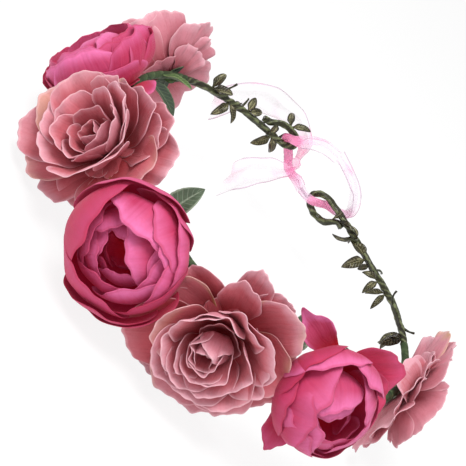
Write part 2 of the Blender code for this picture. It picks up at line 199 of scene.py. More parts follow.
class Finish:
    """A material with one Principled shader, and the nodes that feed it."""

    def __init__(self, name, **constants):
        self.made = bpy.data.materials.new(name)
        self.made.use_nodes = True
        self.tree = self.made.node_tree
        self.shader = self.tree.nodes["Principled BSDF"]
        for socket, value in constants.items():
            self.shader.inputs[socket.replace("_", " ")].default_value = value

    def node(self, kind, settings=(), output=0, **inputs):
        """One node: its settings first, then values or links into its sockets."""
        node = self.tree.nodes.new("ShaderNode" + kind)
        for setting, value in dict(settings).items():
            setattr(node, setting, value)
        for socket, value in inputs.items():
            self.put(node.inputs[socket.replace("_", " ")], value)
        return Value(self.tree, node.outputs[output])

    def put(self, slot, value):
        if isinstance(value, Value):
            self.tree.links.new(value.socket, slot)
        elif isinstance(value, tuple) and len(value) == 3 and slot.type == "RGBA":
            slot.default_value = (*value, 1.0)
        else:
            slot.default_value = value

    def attribute(self, name):
        return self.node("Attribute", {"attribute_name": name}, output="Fac")

    def places(self):
        return self.node("TexCoord", output="Object")

    def clouds(self, scale, detail=2.0, at=None, **settings):
        """Noise between 0 and 1 over the object's own coordinates."""
        return self.node("TexNoise", output=0, Vector=at or self.places(), Scale=scale,
                         Detail=detail, **settings)

    def mixed(self, share, first, second, how="MIX"):
        node = self.tree.nodes.new("ShaderNodeMix")
        node.data_type = "RGBA"
        node.blend_type = how
        self.put(node.inputs[0], share)
        self.put(node.inputs[6], first)
        self.put(node.inputs[7], second)
        return Value(self.tree, node.outputs[2])

    def feed(self, **inputs):
        for socket, value in inputs.items():
            self.put(self.shader.inputs[socket.replace("_", " ")], value)

    def bump(self, height, depth, strength=1.0):
        made = self.node("Bump", Height=height, Distance=depth, Strength=strength)
        self.tree.links.new(made.socket, self.shader.inputs["Normal"])


# ---------------------------------------------------------------- finishes

# A cloth's colour at its petals' bases, partly dye and partly painted shade in the folds, on their
# faces, on their backs and at their rims; that of a thin line along its cut edge, partly dye and
# partly painted light (painted shade on the hot pink, a painted highlight on the dusty pink); how
# strongly its petals glow in their own colour, which is painted light; and how far up the deep
# colour runs
PetalCloth = namedtuple("PetalCloth", "name deep face back pale trim glow depth")
DUSTY = PetalCloth("dusty_pink_cloth", (0.300, 0.006, 0.012), (0.58, 0.098, 0.125),
                   (0.62, 0.195, 0.250), (0.82, 0.425, 0.500), (0.88, 0.600, 0.640), 0.022, 0.80)
HOT = PetalCloth("hot_pink_cloth", (0.520, 0.003, 0.016), (0.50, 0.015, 0.066),
                 (0.42, 0.015, 0.072), (0.79, 0.185, 0.430), (0.420, 0.006, 0.024), 0.085, 0.62)
OCHRE = (0.60, 0.36, 0.13)


def petal_finish(cloth, side):
    """Stamped silk: deep at the petal's base, partly dye and partly painted shade in the folds, paler
    to the rim, with pressed veins and a weave. A thin rim line is partly painted light, and the
    petals glow in their own colour, which is painted light.
    """
    # The emission at the cloth's glow strength makes every petal glow in its own colour: painted light.
    finish = Finish(f"{cloth.name}_{side}", Roughness=0.62, Sheen_Weight=0.08, Sheen_Roughness=0.5,
                    Specular_IOR_Level=0.28, Emission_Strength=cloth.glow)
    body = getattr(cloth, side)
    across = finish.attribute("across")
    along = finish.attribute("along")
    mottle = finish.clouds(150.0, 4.0)
    broad = finish.clouds(45.0, 2.0)
    grain = finish.clouds(900.0, 2.0)
    sheet = finish.node("CombineXYZ", X=across * 11.0, Y=along * 1.6, Z=broad * 2.0)
    streak = finish.clouds(1.0, 3.0, at=sheet)
    rim = along.most(across.size() * 0.97 + 0.02)
    edge = (rim + (mottle - 0.5) * 0.12).step(0.76, 1.0)
    # Deep colour towards the petal's base: partly dye, partly painted shade in the folds between
    # petals.
    core = 1.0 - (along + (mottle - 0.5) * 0.25).step(0.08, cloth.depth)
    colour = finish.mixed(core * (0.95 if side == "face" else 0.55), body, cloth.deep)
    colour = finish.mixed((broad - 0.45).step(0.0, 0.25) * 0.18, colour, cloth.deep)
    light = finish.attribute("pale") * (0.22 + 0.78 * edge + (streak - 0.5) * 0.5)
    colour = finish.mixed(light * along.step(0.20, 0.80), colour, cloth.pale)
    veins = streak.step(0.50, 0.68) * along.step(0.0, 0.3) * (1.0 - along.step(0.75, 1.0) * 0.7)
    colour = finish.mixed(veins * 0.20 + (grain - 0.5) * 0.30, colour, cloth.deep)
    tint = finish.attribute("ochre") * (rim + (broad - 0.5) * 1.1).step(0.74, 1.08) * 0.75
    colour = finish.mixed(tint, colour, OCHRE)
    # A thin line along the rim: partly edge dye, partly painted light, with painted shade on the hot
    # pink and a painted highlight on the dusty pink.
    colour = finish.mixed(rim.step(0.955, 0.990) * 0.32, colour, cloth.trim)
    finish.feed(Base_Color=colour, Emission_Color=colour, Roughness=0.56 + 0.14 * mottle)
    weave = (across * 420.0).sine() * (along * 380.0).sine()
    finish.bump(streak * 1.3 + weave * 0.10 + mottle * 1.1, 0.00035, 0.75)
    return finish.made


# Side veins on a leaf, and how far each one climbs from the midrib to the edge
VEINS = 9.0
VEIN_CLIMB = 1.6

GreenCloth = namedtuple("GreenCloth", "slot body dark light roughness")
LEAF_GREENS = (
    GreenCloth("leaf_bright", (0.110, 0.210, 0.045), (0.030, 0.070, 0.020), (0.30, 0.42, 0.16), 0.6),
    GreenCloth("leaf_grey", (0.125, 0.180, 0.105), (0.040, 0.065, 0.035), (0.36, 0.43, 0.32), 0.65),
    GreenCloth("leaf_dark", (0.045, 0.080, 0.035), (0.010, 0.022, 0.012), (0.14, 0.20, 0.10), 0.6),
    GreenCloth("vine_leaf", (0.090, 0.086, 0.026), (0.012, 0.009, 0.005), (0.42, 0.40, 0.22), 0.22),
)


def leaf_finish(green):
    """A pressed leaf: a light midrib, side veins that run to the edge, and worn lighter edges. The
    vine's small leaves instead get darker edges and a painted highlight along each half.
    """
    finish = Finish(green.slot, Specular_IOR_Level=0.45)
    across = finish.attribute("across").size()
    along = finish.attribute("along")
    mottle = finish.clouds(260.0, 4.0)
    rib = 1.0 - across.step(0.03, 0.14)
    branch = ((along * VEINS - across * VEIN_CLIMB) * (2.0 * pi)).sine() * 0.5 + 0.5
    branch = branch ** 7.0 * (1.0 - across.step(0.75, 1.0))
    colour = finish.mixed((mottle - 0.30) * 1.3, green.dark, green.body)
    colour = finish.mixed(branch * 0.22 + rib * 0.45, colour, green.light)
    edge = green.light
    if green.slot == "vine_leaf":
        edge = green.dark
        # Painted highlight along the middle of each half of the vine's glossy leaves, broken up by
        # noise.
        painted_shine = (1.0 - (across - 0.42).size() * 3.4) * finish.clouds(180.0, 2.0).step(0.42, 0.62)
        colour = finish.mixed(painted_shine.step(0.0, 1.0) * 0.75, colour, green.light)
    colour = finish.mixed((across + (mottle - 0.5) * 0.2).step(0.80, 1.0) * 0.6, colour, edge)
    finish.feed(Base_Color=colour, Roughness=green.roughness + (mottle - 0.5) * 0.25)
    finish.bump(mottle * 0.5 - branch * 0.6 - rib * 0.8, 0.0003, 0.7)
    return finish.made


def wrap_finish(name, dark, body, light, roughness):
    """Wound paper tape or moulded vine: painted shade darkens the grooves and a painted highlight
    lightens the ridges.
    """
    finish = Finish(name, Specular_IOR_Level=0.35)
    groove = finish.attribute("groove")
    mottle = finish.clouds(420.0, 4.0)
    broad = finish.clouds(70.0, 2.0)
    colour = finish.mixed((broad - 0.35) * 1.6, dark, body)
    # Painted highlight on the ridges, then painted shade in the grooves.
    colour = finish.mixed(((1.0 - groove) * 0.9 + (mottle - 0.6)).step(0.45, 1.0) * 0.65, colour, light)
    colour = finish.mixed((groove + (mottle - 0.5) * 0.4).step(0.55, 1.0) * 0.85, colour, dark)
    finish.feed(Base_Color=colour, Roughness=roughness + (mottle - 0.5) * 0.2)
    finish.bump(mottle - groove * 0.8, 0.0004, 0.8)
    return finish.made


def stem_finish(name, dark, body, light):
    """Tape over a wire stem, with fine wrinkles round it."""
    finish = Finish(name, Roughness=0.62, Specular_IOR_Level=0.35)
    mottle = finish.clouds(500.0, 4.0)
    colour = finish.mixed(mottle.step(0.35, 0.6), dark, body)
    colour = finish.mixed(mottle.step(0.58, 0.8) * 0.6, colour, light)
    finish.feed(Base_Color=colour)
    finish.bump(mottle, 0.0004, 0.7)
    return finish.made


def wire_finish():
    """Drawn florist's wire, with a dull skin of handling marks."""
    finish = Finish("wire_steel", Metallic=0.9)
    marks = finish.clouds(900.0, 3.0)
    finish.feed(Base_Color=finish.mixed(marks, (0.30, 0.30, 0.30), (0.58, 0.58, 0.57)),
                Roughness=0.28 + marks * 0.25)
    finish.bump(marks, 0.0001, 0.4)
    return finish.made


def organza_finish():
    """Sheer organza: a fine even weave, woven edges, a pink cast where it gathers, and a faint glow
    in its own colour, which is painted light.
    """
    finish = Finish("organza_ribbon", Roughness=0.42, Sheen_Weight=0.3, Sheen_Roughness=0.35,
                    Specular_IOR_Level=0.5, Emission_Strength=0.16)
    across = finish.attribute("across")
    along = finish.attribute("along")
    gather = finish.attribute("gather")
    mottle = finish.clouds(300.0, 3.0)
    patch = finish.clouds(70.0, 2.0).step(0.50, 0.70)
    threads = (across * 190.0).sine() * (along * 5200.0).sine() * 0.5 + 0.5
    selvedge = across.size().step(0.91, 0.96)
    colour = finish.mixed(selvedge * 0.9, (0.86, 0.70, 0.84), (0.58, 0.42, 0.54))
    colour = finish.mixed(gather * 0.9 + patch * 0.6 + (mottle - 0.5) * 0.4, colour, (0.93, 0.34, 0.58))
    # The emission makes the ribbon glow faintly in its own colour: painted light.
    finish.feed(Base_Color=colour, Emission_Color=colour,
                Alpha=(0.07 + threads * 0.05 + selvedge * 0.40 + gather * (0.05 + mottle * 0.55)
                       + patch * 0.14 + (mottle - 0.5) * 0.06))
    finish.bump(threads, 0.00008, 0.5)
    return finish.made


# ---------------------------------------------------------------- petals

# Petals of one size and bearing, at several turns round their flower's axis. base and rise say where
# they start: distance from the axis and height along it. lean is the petal's angle from the axis at
# its base, middle and rim: 90 lies flat outwards, 0 stands up, less than 0 closes over the middle.
# cup is how far round the petal bends across its width. ruffle, roll and tuck are how far its rim
# waves, turns back, and lifts at one side; a notch is a share of its length. at moves the whorl off
# its flower's axis, in millimetres. All other lengths are metres, and all angles degrees.
Whorl = namedtuple(
    "Whorl", "turns base rise length width lean cup ruffle pale roll tuck notch twist ochre at",
    defaults=(0.0, 0.0, 0.0, 0.0, 0.0, (0.0, 0.0)))

PETAL_ACROSS = 18
PETAL_ALONG = 13
PETAL_WALL = 0.00035
LEAN_STEPS = 12
CORNER = 0.86
CLAW = 0.42
NOTCH_WIDTH = 0.30
RAGGED = 0.018
CREASES = 3
CREASE_WIDTH = 0.16
CRUMPLE = 0.0009
CRUMPLE_SCALE = 95.0
FINE_SHARE = 0.45
FINE_SCALE = 260.0
NOISE_SEED = 7
# How far one petal may differ from the next: its size, its paleness, its lean and its twist
SIZES = (0.96, 1.04)
SHADES = (0.75, 1.1)
TIP_STRAY = 4.0
TWIST_STRAY = 5.0


def lean_at(lean, share):
    """The petal's angle from the axis: a smooth curve through its three given angles."""
    start, middle, rim = lean
    return radians(start + share * (4.0 * middle - 3.0 * start - rim)
                   + share * share * 2.0 * (start + rim - 2.0 * middle))


def midline(whorl, share):
    """Distance from the axis and height of the petal's midline, a share of the way up."""
    out = whorl.base
    up = whorl.rise
    stride = whorl.length * share / LEAN_STEPS
    for step in range(LEAN_STEPS):
        angle = lean_at(whorl.lean, share * (step + 0.5) / LEAN_STEPS)
        out += stride * sin(angle)
        up += stride * cos(angle)
    return out, up


def disc(across, along):
    """Rounds a square grid off: share of the half width, and share of the length."""
    up = 2.0 * along - 1.0
    return (across * sqrt(1.0 - CORNER * up * up / 2.0),
            (1.0 + up * sqrt(1.0 - CORNER * across * across / 2.0)) / 2.0)


def crease(aside, share, phase):
    """Soft folds that run from a petal's base and open towards its rim."""
    fold = 0.0
    for number in range(CREASES):
        middle = 0.75 * sin(phase * (1.7 + number) + number * 2.1)
        side = 1.0 if number % 2 else -1.0
        fold += side * exp(-((aside - middle) / CREASE_WIDTH) ** 2)
    return fold * share * share


def petal_point(whorl, across, along, phase):
    """One point of a petal that stands at turn 0, in the flower's frame."""
    aside, share = disc(across, along)
    share *= 1.0 - whorl.notch * exp(-(aside / NOTCH_WIDTH) ** 2) * share ** 3
    nibble = sin(aside * 7.0 + 1.9 * phase) + 0.7 * sin(aside * 17.0 + phase)
    share *= 1.0 + RAGGED * share ** 3 * nibble
    out, up = midline(whorl, share)
    angle = lean_at(whorl.lean, share)
    side = aside * whorl.width / 2.0 * (CLAW + (1.0 - CLAW) * smooth(0.0, 0.7, share))
    bend = radians(whorl.cup) / whorl.width
    turned = radians(whorl.twist) * share
    level = sin(side * bend) / bend if bend else side
    lift = (1.0 - cos(side * bend)) / bend if bend else 0.0
    wave = sin(aside * 4.6 + phase) + 0.5 * sin(aside * 9.5 + 2.3 * phase)
    lift += whorl.ruffle * (wave * share ** 2.5 + 0.9 * crease(aside, share, phase))
    lift -= whorl.roll * (abs(aside) ** 3 * share + smooth(0.72, 1.0, share))
    lift += whorl.tuck * aside * share
    level, lift = level * cos(turned) - lift * sin(turned), level * sin(turned) + lift * cos(turned)
    return Vector((out - cos(angle) * lift, level, up + sin(angle) * lift))


def add_petal(bm, layers, placed, whorl, turn, draw):
    phase = draw.uniform(0.0, 2.0 * pi)
    size = draw.uniform(*SIZES)
    shade = draw.uniform(*SHADES)
    tip = draw.uniform(-TIP_STRAY, TIP_STRAY)
    start, middle, rim = whorl.lean
    whorl = whorl._replace(lean=(start, middle + tip / 2.0, rim + tip),
                           twist=whorl.twist + draw.uniform(-TWIST_STRAY, TWIST_STRAY))
    shifted = Matrix.Translation((mm(whorl.at[0]), mm(whorl.at[1]), 0.0))
    turned = shifted @ Matrix.Rotation(radians(turn), 4, "Z") @ Matrix.Scale(size, 4)
    grid = bmesh.ops.create_grid(bm, x_segments=PETAL_ACROSS, y_segments=PETAL_ALONG, size=1.0)
    for vert in grid["verts"]:
        across = vert.co.x
        along = (vert.co.y + 1.0) / 2.0
        place = placed @ turned @ petal_point(whorl, across, along, phase)
        vert.co = place + noise.noise_vector(place * CRUMPLE_SCALE) * CRUMPLE
        vert.co += noise.noise_vector(place * FINE_SCALE) * CRUMPLE * FINE_SHARE
        vert[layers["across"]] = across
        vert[layers["along"]] = along
        vert[layers["pale"]] = whorl.pale * shade
        vert[layers["ochre"]] = whorl.ochre


def float_layers(bm, *names):
    """New numbers on every vertex, which the finishes and the sweeps read by name."""
    return {name: bm.verts.layers.float.new(name) for name in names}


def petal_mesh(name, placed, whorls, draw, back, face):
    bm = bmesh.new()
    layers = float_layers(bm, "across", "along", "pale", "ochre")
    for whorl in whorls:
        for turn in whorl.turns:
            add_petal(bm, layers, placed, whorl, turn, draw)
    piece = finished(name, bm, back)
    piece.data.materials.append(face)
    thicken(piece, "Cloth", PETAL_WALL).material_offset = 1
    soften(piece)
    return piece


def finished(name, bm, finish):
    """Turns a bmesh into a shown object with one finish, its place in its mesh."""
    for face in bm.faces:
        face.smooth = True
    mesh = bpy.data.meshes.new(name)
    bm.to_mesh(mesh)
    bm.free()
    mesh.materials.append(finish)
    piece = bpy.data.objects.new(name, mesh)
    bpy.context.scene.collection.objects.link(piece)
    return piece


def thicken(piece, name, wall):
    """Gives a sheet its wall, half to either side."""
    thick = piece.modifiers.new(name, "SOLIDIFY")
    thick.thickness = wall
    thick.offset = 0.0
    return thick


def soften(piece):
    subdivided = piece.modifiers.new("Soften", "SUBSURF")
    subdivided.levels = 1
    subdivided.render_levels = 1


# ---------------------------------------------------------------- flowers

# Each flower's seat on the band and the way it faces, how deep it is for its breadth, its cloth,
# then its three layers of petals
Flower = namedtuple("Flower", "name angle height heading tilt depth cloth outer inner core")
BALL_BASE = 0.5


def mm(value):
    return value / 1000.0


def whorl(turns, length, width, lean, cup, pale, base=3, rise=0, ruffle=0.8, **more):
    """A whorl with its lengths given in millimetres. One petal's turn may be a bare number."""
    turns = turns if isinstance(turns, tuple) else (turns,)
    for key in more.keys() & {"roll", "tuck"}:
        more[key] = mm(more[key])
    return Whorl(turns, mm(base), mm(rise), mm(length), mm(width), lean, cup, mm(ruffle), pale, **more)


def ball(turns, radius, wrap, width, pale, rise=0, ruffle=0.35, **more):
    """Petals that follow a ball of one radius, and reach a wrap of degrees round it."""
    lean = (88, 89 - wrap / 2, 90 - wrap)
    return whorl(turns, radius * radians(wrap), width, lean, degrees(width / radius), pale,
                 BALL_BASE, rise, ruffle, **more)


def around(count, start=0.0):
    return tuple(start + 360.0 * step / count for step in range(count))


BASE_PLATE = whorl(around(5), 14, 16, (90, 85, 78), 30, 0.1, 0, 0.5, ruffle=0.6)
BASE_CUP = whorl((30, 150, 270), 13, 17, (78, 40, 24), 120, 0.4, 0, 3.9, ruffle=0.6)

RANUNCULUS_HEART = (
    ball(190, 14.5, 146, 30, 0.65, 9),
    ball(318, 14, 140, 30, 0.75, 9),
    ball(80, 14.5, 152, 32, 0.85, 9),
    ball(30, 12.5, 172, 28, 1.0, 12),
    ball(240, 10, 128, 20, 0.1, 12),
    ball(120, 8.5, 132, 17, 0.25, 12),
    ball(350, 8, 120, 14, 0.1, 12),
)

RANUNCULUS_LEFT = dict(
    outer=(
        ball(2, 24.5, 116, 36, 1.0, ruffle=0.2),
        ball(322, 24, 108, 34, 0.75),
        ball(345, 25.6, 64, 38, 0.5, ruffle=0.5),
        ball(30, 25.8, 68, 38, 0.55, ruffle=0.5),
        ball(56, 24.5, 106, 26, 0.5, ruffle=0.8),
        ball(80, 25, 112, 26, 0.65, ruffle=1.0),
        ball(106, 25.4, 100, 30, 0.3, ruffle=1.0),
        ball(142, 25, 101, 40, 0.2, ruffle=0.6),
        ball(182, 25, 99, 46, 0.2, ruffle=0.6),
        ball(224, 24.5, 100, 40, 0.2, ruffle=0.6),
        ball(262, 24.5, 96, 34, 0.2, ruffle=0.9),
        ball(292, 25.6, 90, 28, 0.3, ruffle=0.9),
        whorl(36, 29, 30, (92, 97, 108), 50, 0.85, 4, ruffle=0.5),
    ),
    inner=(
        ball(36, 21.5, 112, 32, 0.3, 4, ruffle=0.8),
        ball(70, 21, 118, 28, 0.3, 4, ruffle=0.8),
        ball(350, 20.5, 124, 36, 0.6, 4.5),
        ball(302, 21, 116, 34, 0.4, 4.5),
        ball(110, 20.5, 122, 34, 0.5, 4.5),
        ball((160, 207), 20.5, 126, 38, 0.5, 4.5),
        ball(252, 20.5, 120, 36, 0.45, 4.5),
    ),
    core=RANUNCULUS_HEART)

RANUNCULUS_FRONT_LEFT = dict(
    outer=(
        ball(196, 25.4, 149, 60, 0.16, ruffle=0.12, tuck=1.0),
        ball(134, 27.2, 104, 58, 0.45, ruffle=0.25),
        ball(92, 26.4, 100, 38, 0.6, ruffle=0.7),
        ball(270, 26.2, 140, 52, 0.24, ruffle=0.25, tuck=-1.0),
        ball(322, 28.2, 108, 48, 0.15, ruffle=0.5),
        ball(300, 28, 118, 48, 0.2, ruffle=0.5),
        ball(346, 25.6, 118, 46, 0.2, ruffle=0.5, tuck=1.0),
        ball(46, 24.5, 116, 46, 0.7, ruffle=0.4, tuck=-1.0),
        ball(18, 24.6, 124, 44, 0.55, ruffle=0.4, tuck=1.0),
        ball(68, 23.2, 130, 34, 0.6, ruffle=0.4),
    ),
    inner=(
        ball(100, 20, 149, 42, 1.0, 4.6, ruffle=0.12, tuck=-1.0),
        ball(66, 21.6, 132, 36, 0.8, 3.8, ruffle=0.2),
        ball(205, 18.5, 147, 34, 0.55, 5, tuck=1.0),
        ball(238, 16.5, 150, 30, 0.65, 6.5),
        ball(288, 19.5, 140, 42, 0.4, 4.5, tuck=1.0),
        ball(335, 20.8, 133, 44, 0.85, 4, ruffle=0.5),
        ball(8, 19.2, 132, 42, 0.85, 5, tuck=1.0),
        ball(32, 17.5, 134, 38, 0.8, 6),
        ball(152, 16.5, 152, 34, 0.7, 7, ruffle=0.2),
    ),
    core=(
        ball(57, 14.6, 168, 38, 1.0, 11.2, ruffle=0.1),
        ball(120, 12.5, 158, 24, 0.75, 10.5),
        ball(206, 14.4, 154, 28, 0.7, 9.3, ruffle=0.2),
        ball(188, 12, 146, 20, 0.6, 11),
        ball(312, 14, 150, 26, 0.75, 9),
        ball(272, 11.5, 140, 20, 0.25, 11),
        ball(236, 9, 136, 16, 0.05, 13),
        ball(300, 7.5, 130, 13, 0.05, 13),
    ))

RANUNCULUS_FRONT_RIGHT = dict(
    outer=(
        ball(248, 23, 136, 36, 0.55, ruffle=0.9),
        ball(278, 23, 122, 38, 0.4, ruffle=0.9),
        ball(312, 21.8, 124, 40, 0.35, ruffle=0.8),
        ball(350, 20.8, 124, 36, 0.45, ruffle=0.7),
        ball(20, 20.8, 121, 38, 0.4, ruffle=0.7),
        ball(164, 24, 106, 42, 0.12, ruffle=0.6),
        ball(128, 22.8, 120, 44, 0.8, ruffle=0.5, at=(-1, -2)),
        ball(80, 22, 130, 36, 0.9, ruffle=0.6),
        ball(208, 24.2, 114, 40, 0.15, ruffle=0.8),
        whorl(266, 29, 18, (92, 66, 64), 60, 0.5, notch=-0.14),
        whorl(44, 31.5, 27, (90, 74, 68), 50, 0.3, ruffle=0.7, notch=-0.08),
        whorl(18, 31, 27, (90, 72, 66), 60, 0.2),
        whorl(164, 28, 16, (88, 78, 70), 90, 1.3, 1, 1, ruffle=0.5, notch=-0.24, twist=-8, at=(1, 12)),
    ),
    inner=(
        ball(178, 21.8, 142, 42, 0.55, 3.5, ruffle=0.9, at=(1, -1)),
        ball(208, 20.8, 148, 34, 0.45, 4, ruffle=0.8, at=(1, -2)),
        ball(124, 18.5, 158, 36, 0.95, 6, ruffle=0.4, at=(-2, -6)),
        ball(116, 16, 168, 32, 1.0, 8.5, ruffle=0.5, at=(-1, -6)),
        ball(48, 18.5, 145, 30, 0.65, 6, ruffle=0.6, at=(1, -2)),
        ball(18, 18, 140, 30, 0.45, 6.5, ruffle=0.6, at=(1, -2)),
        ball(345, 17.5, 152, 34, 0.65, 6, ruffle=0.3, at=(1, -2)),
        ball(306, 18, 150, 36, 0.6, 5, ruffle=0.3, at=(1, -2)),
        ball(262, 18, 154, 34, 0.65, 5.5, ruffle=0.3, at=(1, -2)),
        ball(228, 18, 156, 34, 0.65, 6, ruffle=0.4, at=(1, -2)),
    ),
    core=(
        ball(292, 13, 152, 26, 0.7, 9.5, ruffle=0.3, at=(3, -5)),
        ball(338, 12, 150, 22, 0.6, 10.5, ruffle=0.3, at=(3, -5)),
        ball(246, 12, 152, 24, 0.65, 10.5, ruffle=0.3, at=(3, -5)),
        ball(128, 10.5, 160, 20, 0.8, 11.5, ruffle=0.2, at=(3, -5)),
        ball(200, 9, 140, 14, 0.1, 12, at=(3, -5)),
        ball(20, 9.5, 150, 18, 0.5, 12, ruffle=0.2, at=(3, -5)),
    ))

PEONY_HEART = (
    whorl((285, 235, 335), 16, 19, (48, 14, 6), 140, 0.85, 1, 8, ruffle=0.9, at=(-2, -3)),
    whorl((20, 190), 15, 17, (42, 10, -6), 105, 0.85, 1, 8, ruffle=1.0, twist=12, at=(-2, -3)),
    whorl((95, 150), 19, 20, (38, 0, -48), 150, 0.9, 1, 7, ruffle=1.1, twist=-16),
    whorl((60, 180, 300), 10, 9, (25, 0, -20), 150, 0.5, 0.5, 9, ruffle=0.7, twist=25, at=(-1, -2)),
)

PEONY_FRONT = dict(
    outer=(
        whorl(222, 31, 28, (92, 74, 78), 60, 0.4, ruffle=0.7),
        whorl(204, 24, 24, (93, 78, 82), 60, 0.55, 4, -1, ruffle=0.6),
        whorl(184, 25, 25, (92, 72, 78), 60, 0.8, 4, ruffle=0.4, roll=1.0, ochre=0.9),
        whorl(166, 28, 24, (94, 80, 84), 50, 0.6, 3, -1, ruffle=0.6),
        whorl(112, 25, 20, (90, 66, 72), 60, 0.65, ruffle=0.7, roll=1.2),
        whorl(104, 29, 17, (94, 80, 88), 40, 1.0, 3, -1),
        whorl(63, 33, 28, (90, 66, 72), 60, 0.8, roll=1.2, ochre=1.0),
        whorl(76, 28, 17, (94, 80, 90), 40, 1.0, 3, -1),
        whorl(45, 28, 26, (92, 72, 74), 50, 0.6, 3, -1),
        whorl(18, 31, 30, (90, 60, 62), 70, 0.5, ruffle=0.7, ochre=0.7),
        whorl(350, 31, 28, (92, 74, 80), 50, 0.3, 3, -1, ruffle=0.6),
        whorl(318, 33, 32, (90, 60, 56), 70, 0.7, ruffle=0.6),
        whorl(296, 33, 30, (90, 66, 66), 60, 0.7),
        whorl(270, 32, 32, (90, 58, 52), 80, 0.75, ruffle=0.6, ochre=1.0),
        whorl(246, 34, 24, (92, 74, 80), 50, 0.9, 3, -1, ruffle=0.7),
        whorl(222, 36, 32, (90, 66, 76), 60, 0.3),
    ),
    inner=(
        whorl(205, 28, 29, (80, 46, 38), 90, 0.85, 2, 3, roll=1.4, ochre=0.3),
        whorl(244, 30, 30, (78, 46, 36), 90, 0.8, 2, 3, ruffle=0.7),
        whorl(286, 30, 32, (78, 46, 34), 90, 0.85, 2, 3, ruffle=0.7),
        whorl(328, 30, 30, (78, 46, 38), 90, 0.85, 2, 3),
        whorl(8, 29, 27, (78, 44, 38), 90, 0.9, 2, 4, ruffle=1.1, roll=1.2),
        whorl(46, 30, 30, (78, 42, 38), 90, 0.95, 2, 4, ruffle=0.9, roll=2.0),
        whorl(88, 27, 26, (74, 38, 24), 100, 1.0, 2, 4, ruffle=1.3, roll=1.6),
        whorl(128, 26, 26, (70, 32, 6), 110, 1.0, 2, 4, ruffle=1.2, roll=1.2),
        whorl(168, 27, 28, (70, 34, 8), 110, 1.0, 2, 4, ruffle=1.0, roll=1.2),
        whorl(222, 26, 26, (70, 36, 14), 110, 0.85, 2, 5, roll=0.8, at=(-1, -2)),
        whorl(268, 26, 28, (70, 36, 14), 110, 0.85, 2, 5, ruffle=0.7, roll=0.8, at=(-1, -2)),
        whorl(318, 26, 28, (70, 36, 14), 110, 0.9, 2, 5, roll=0.8, at=(-1, -2)),
        whorl(12, 25, 24, (68, 32, 10), 110, 0.95, 2, 5, ruffle=1.2, roll=0.8, twist=12),
        whorl((250, 300, 345), 21, 23, (60, 26, 6), 120, 0.85, 2, 6, at=(-2, -3)),
    ),
    core=PEONY_HEART)

PEONY_LEFT_FRONT = dict(
    outer=(
        whorl(229, 39, 28, (86, 60, 60), 60, 0.55, roll=0.8),
        whorl(252, 35, 29, (88, 66, 66), 60, 0.7, 3, 1, roll=0.8, ochre=0.5),
        whorl(270, 31, 30, (92, 78, 82), 50, 0.85, 3, -1, ruffle=0.9),
        whorl(306, 24, 32, (96, 84, 96), 60, 0.75),
        whorl(338, 27, 30, (94, 76, 80), 50, 0.6, 3, -1),
        whorl(20, 31, 33, (88, 64, 68), 60, 0.55, roll=0.8, ochre=0.3),
        whorl(42, 33, 28, (92, 78, 86), 50, 1.0, 3, -1),
        whorl(58, 29, 28, (88, 66, 70), 60, 0.9),
        whorl(74, 29, 25, (92, 74, 80), 50, 0.6, 3, -1),
        whorl(90, 28, 26, (84, 56, 54), 60, 1.0, roll=0.8),
        whorl(113, 27, 26, (84, 50, 46), 70, 0.45, 3, 1, ruffle=0.7),
        whorl(143, 28, 26, (86, 60, 62), 60, 0.9, ochre=1.2),
        whorl(175, 32, 29, (84, 56, 54), 70, 0.75, ruffle=0.7, roll=1.0),
        whorl(205, 37, 28, (84, 56, 56), 60, 0.85, ochre=0.5),
    ),
    inner=(
        whorl(252, 29, 28, (78, 42, 42), 80, 0.85, 2, 3, roll=1.0),
        whorl(344, 31, 42, (72, 36, 38), 80, 0.8, 2, 3, ruffle=0.6, roll=1.2),
        whorl(36, 30, 32, (74, 38, 38), 80, 0.9, 2, 3, ruffle=0.6, roll=0.8),
        whorl(86, 31, 30, (74, 34, 28), 90, 0.95, 2, 3, ruffle=0.7, roll=1.5),
        whorl(128, 30, 27, (76, 40, 36), 80, 0.8, 2, 3, roll=1.0),
        whorl(171, 31, 32, (76, 42, 40), 80, 0.85, 2, 3, ruffle=0.6, roll=1.5),
        whorl(212, 28, 28, (78, 44, 42), 80, 0.8, 2, 3, ruffle=0.7, roll=1.0),
        whorl(192, 25, 26, (68, 30, 14), 100, 0.75, 2, 4, roll=0.8),
        whorl(0, 24, 28, (66, 28, 10), 100, 0.85, 2, 4, ruffle=0.6, roll=0.8),
        whorl(302, 22, 24, (66, 28, 10), 100, 0.75, 2, 4),
        whorl(62, 26, 22, (68, 30, 12), 100, 0.85, 2, 4),
        whorl(110, 25, 22, (68, 30, 10), 100, 0.85, 2, 4, roll=0.8),
        whorl(244, 23, 22, (68, 30, 12), 100, 0.8, 2, 4),
    ),
    core=(
        whorl(150, 19, 22, (60, 22, -2), 110, 0.55, 2, 6, ruffle=0.7),
        whorl(270, 17, 20, (60, 22, 0), 110, 0.6, 2, 6, ruffle=0.7),
        whorl(30, 18, 20, (58, 20, -4), 120, 0.7, 2, 6, ruffle=0.7),
        whorl((80, 205, 330), 13, 13, (40, 10, -10), 120, 0.4, 1, 7, ruffle=0.6),
    ))

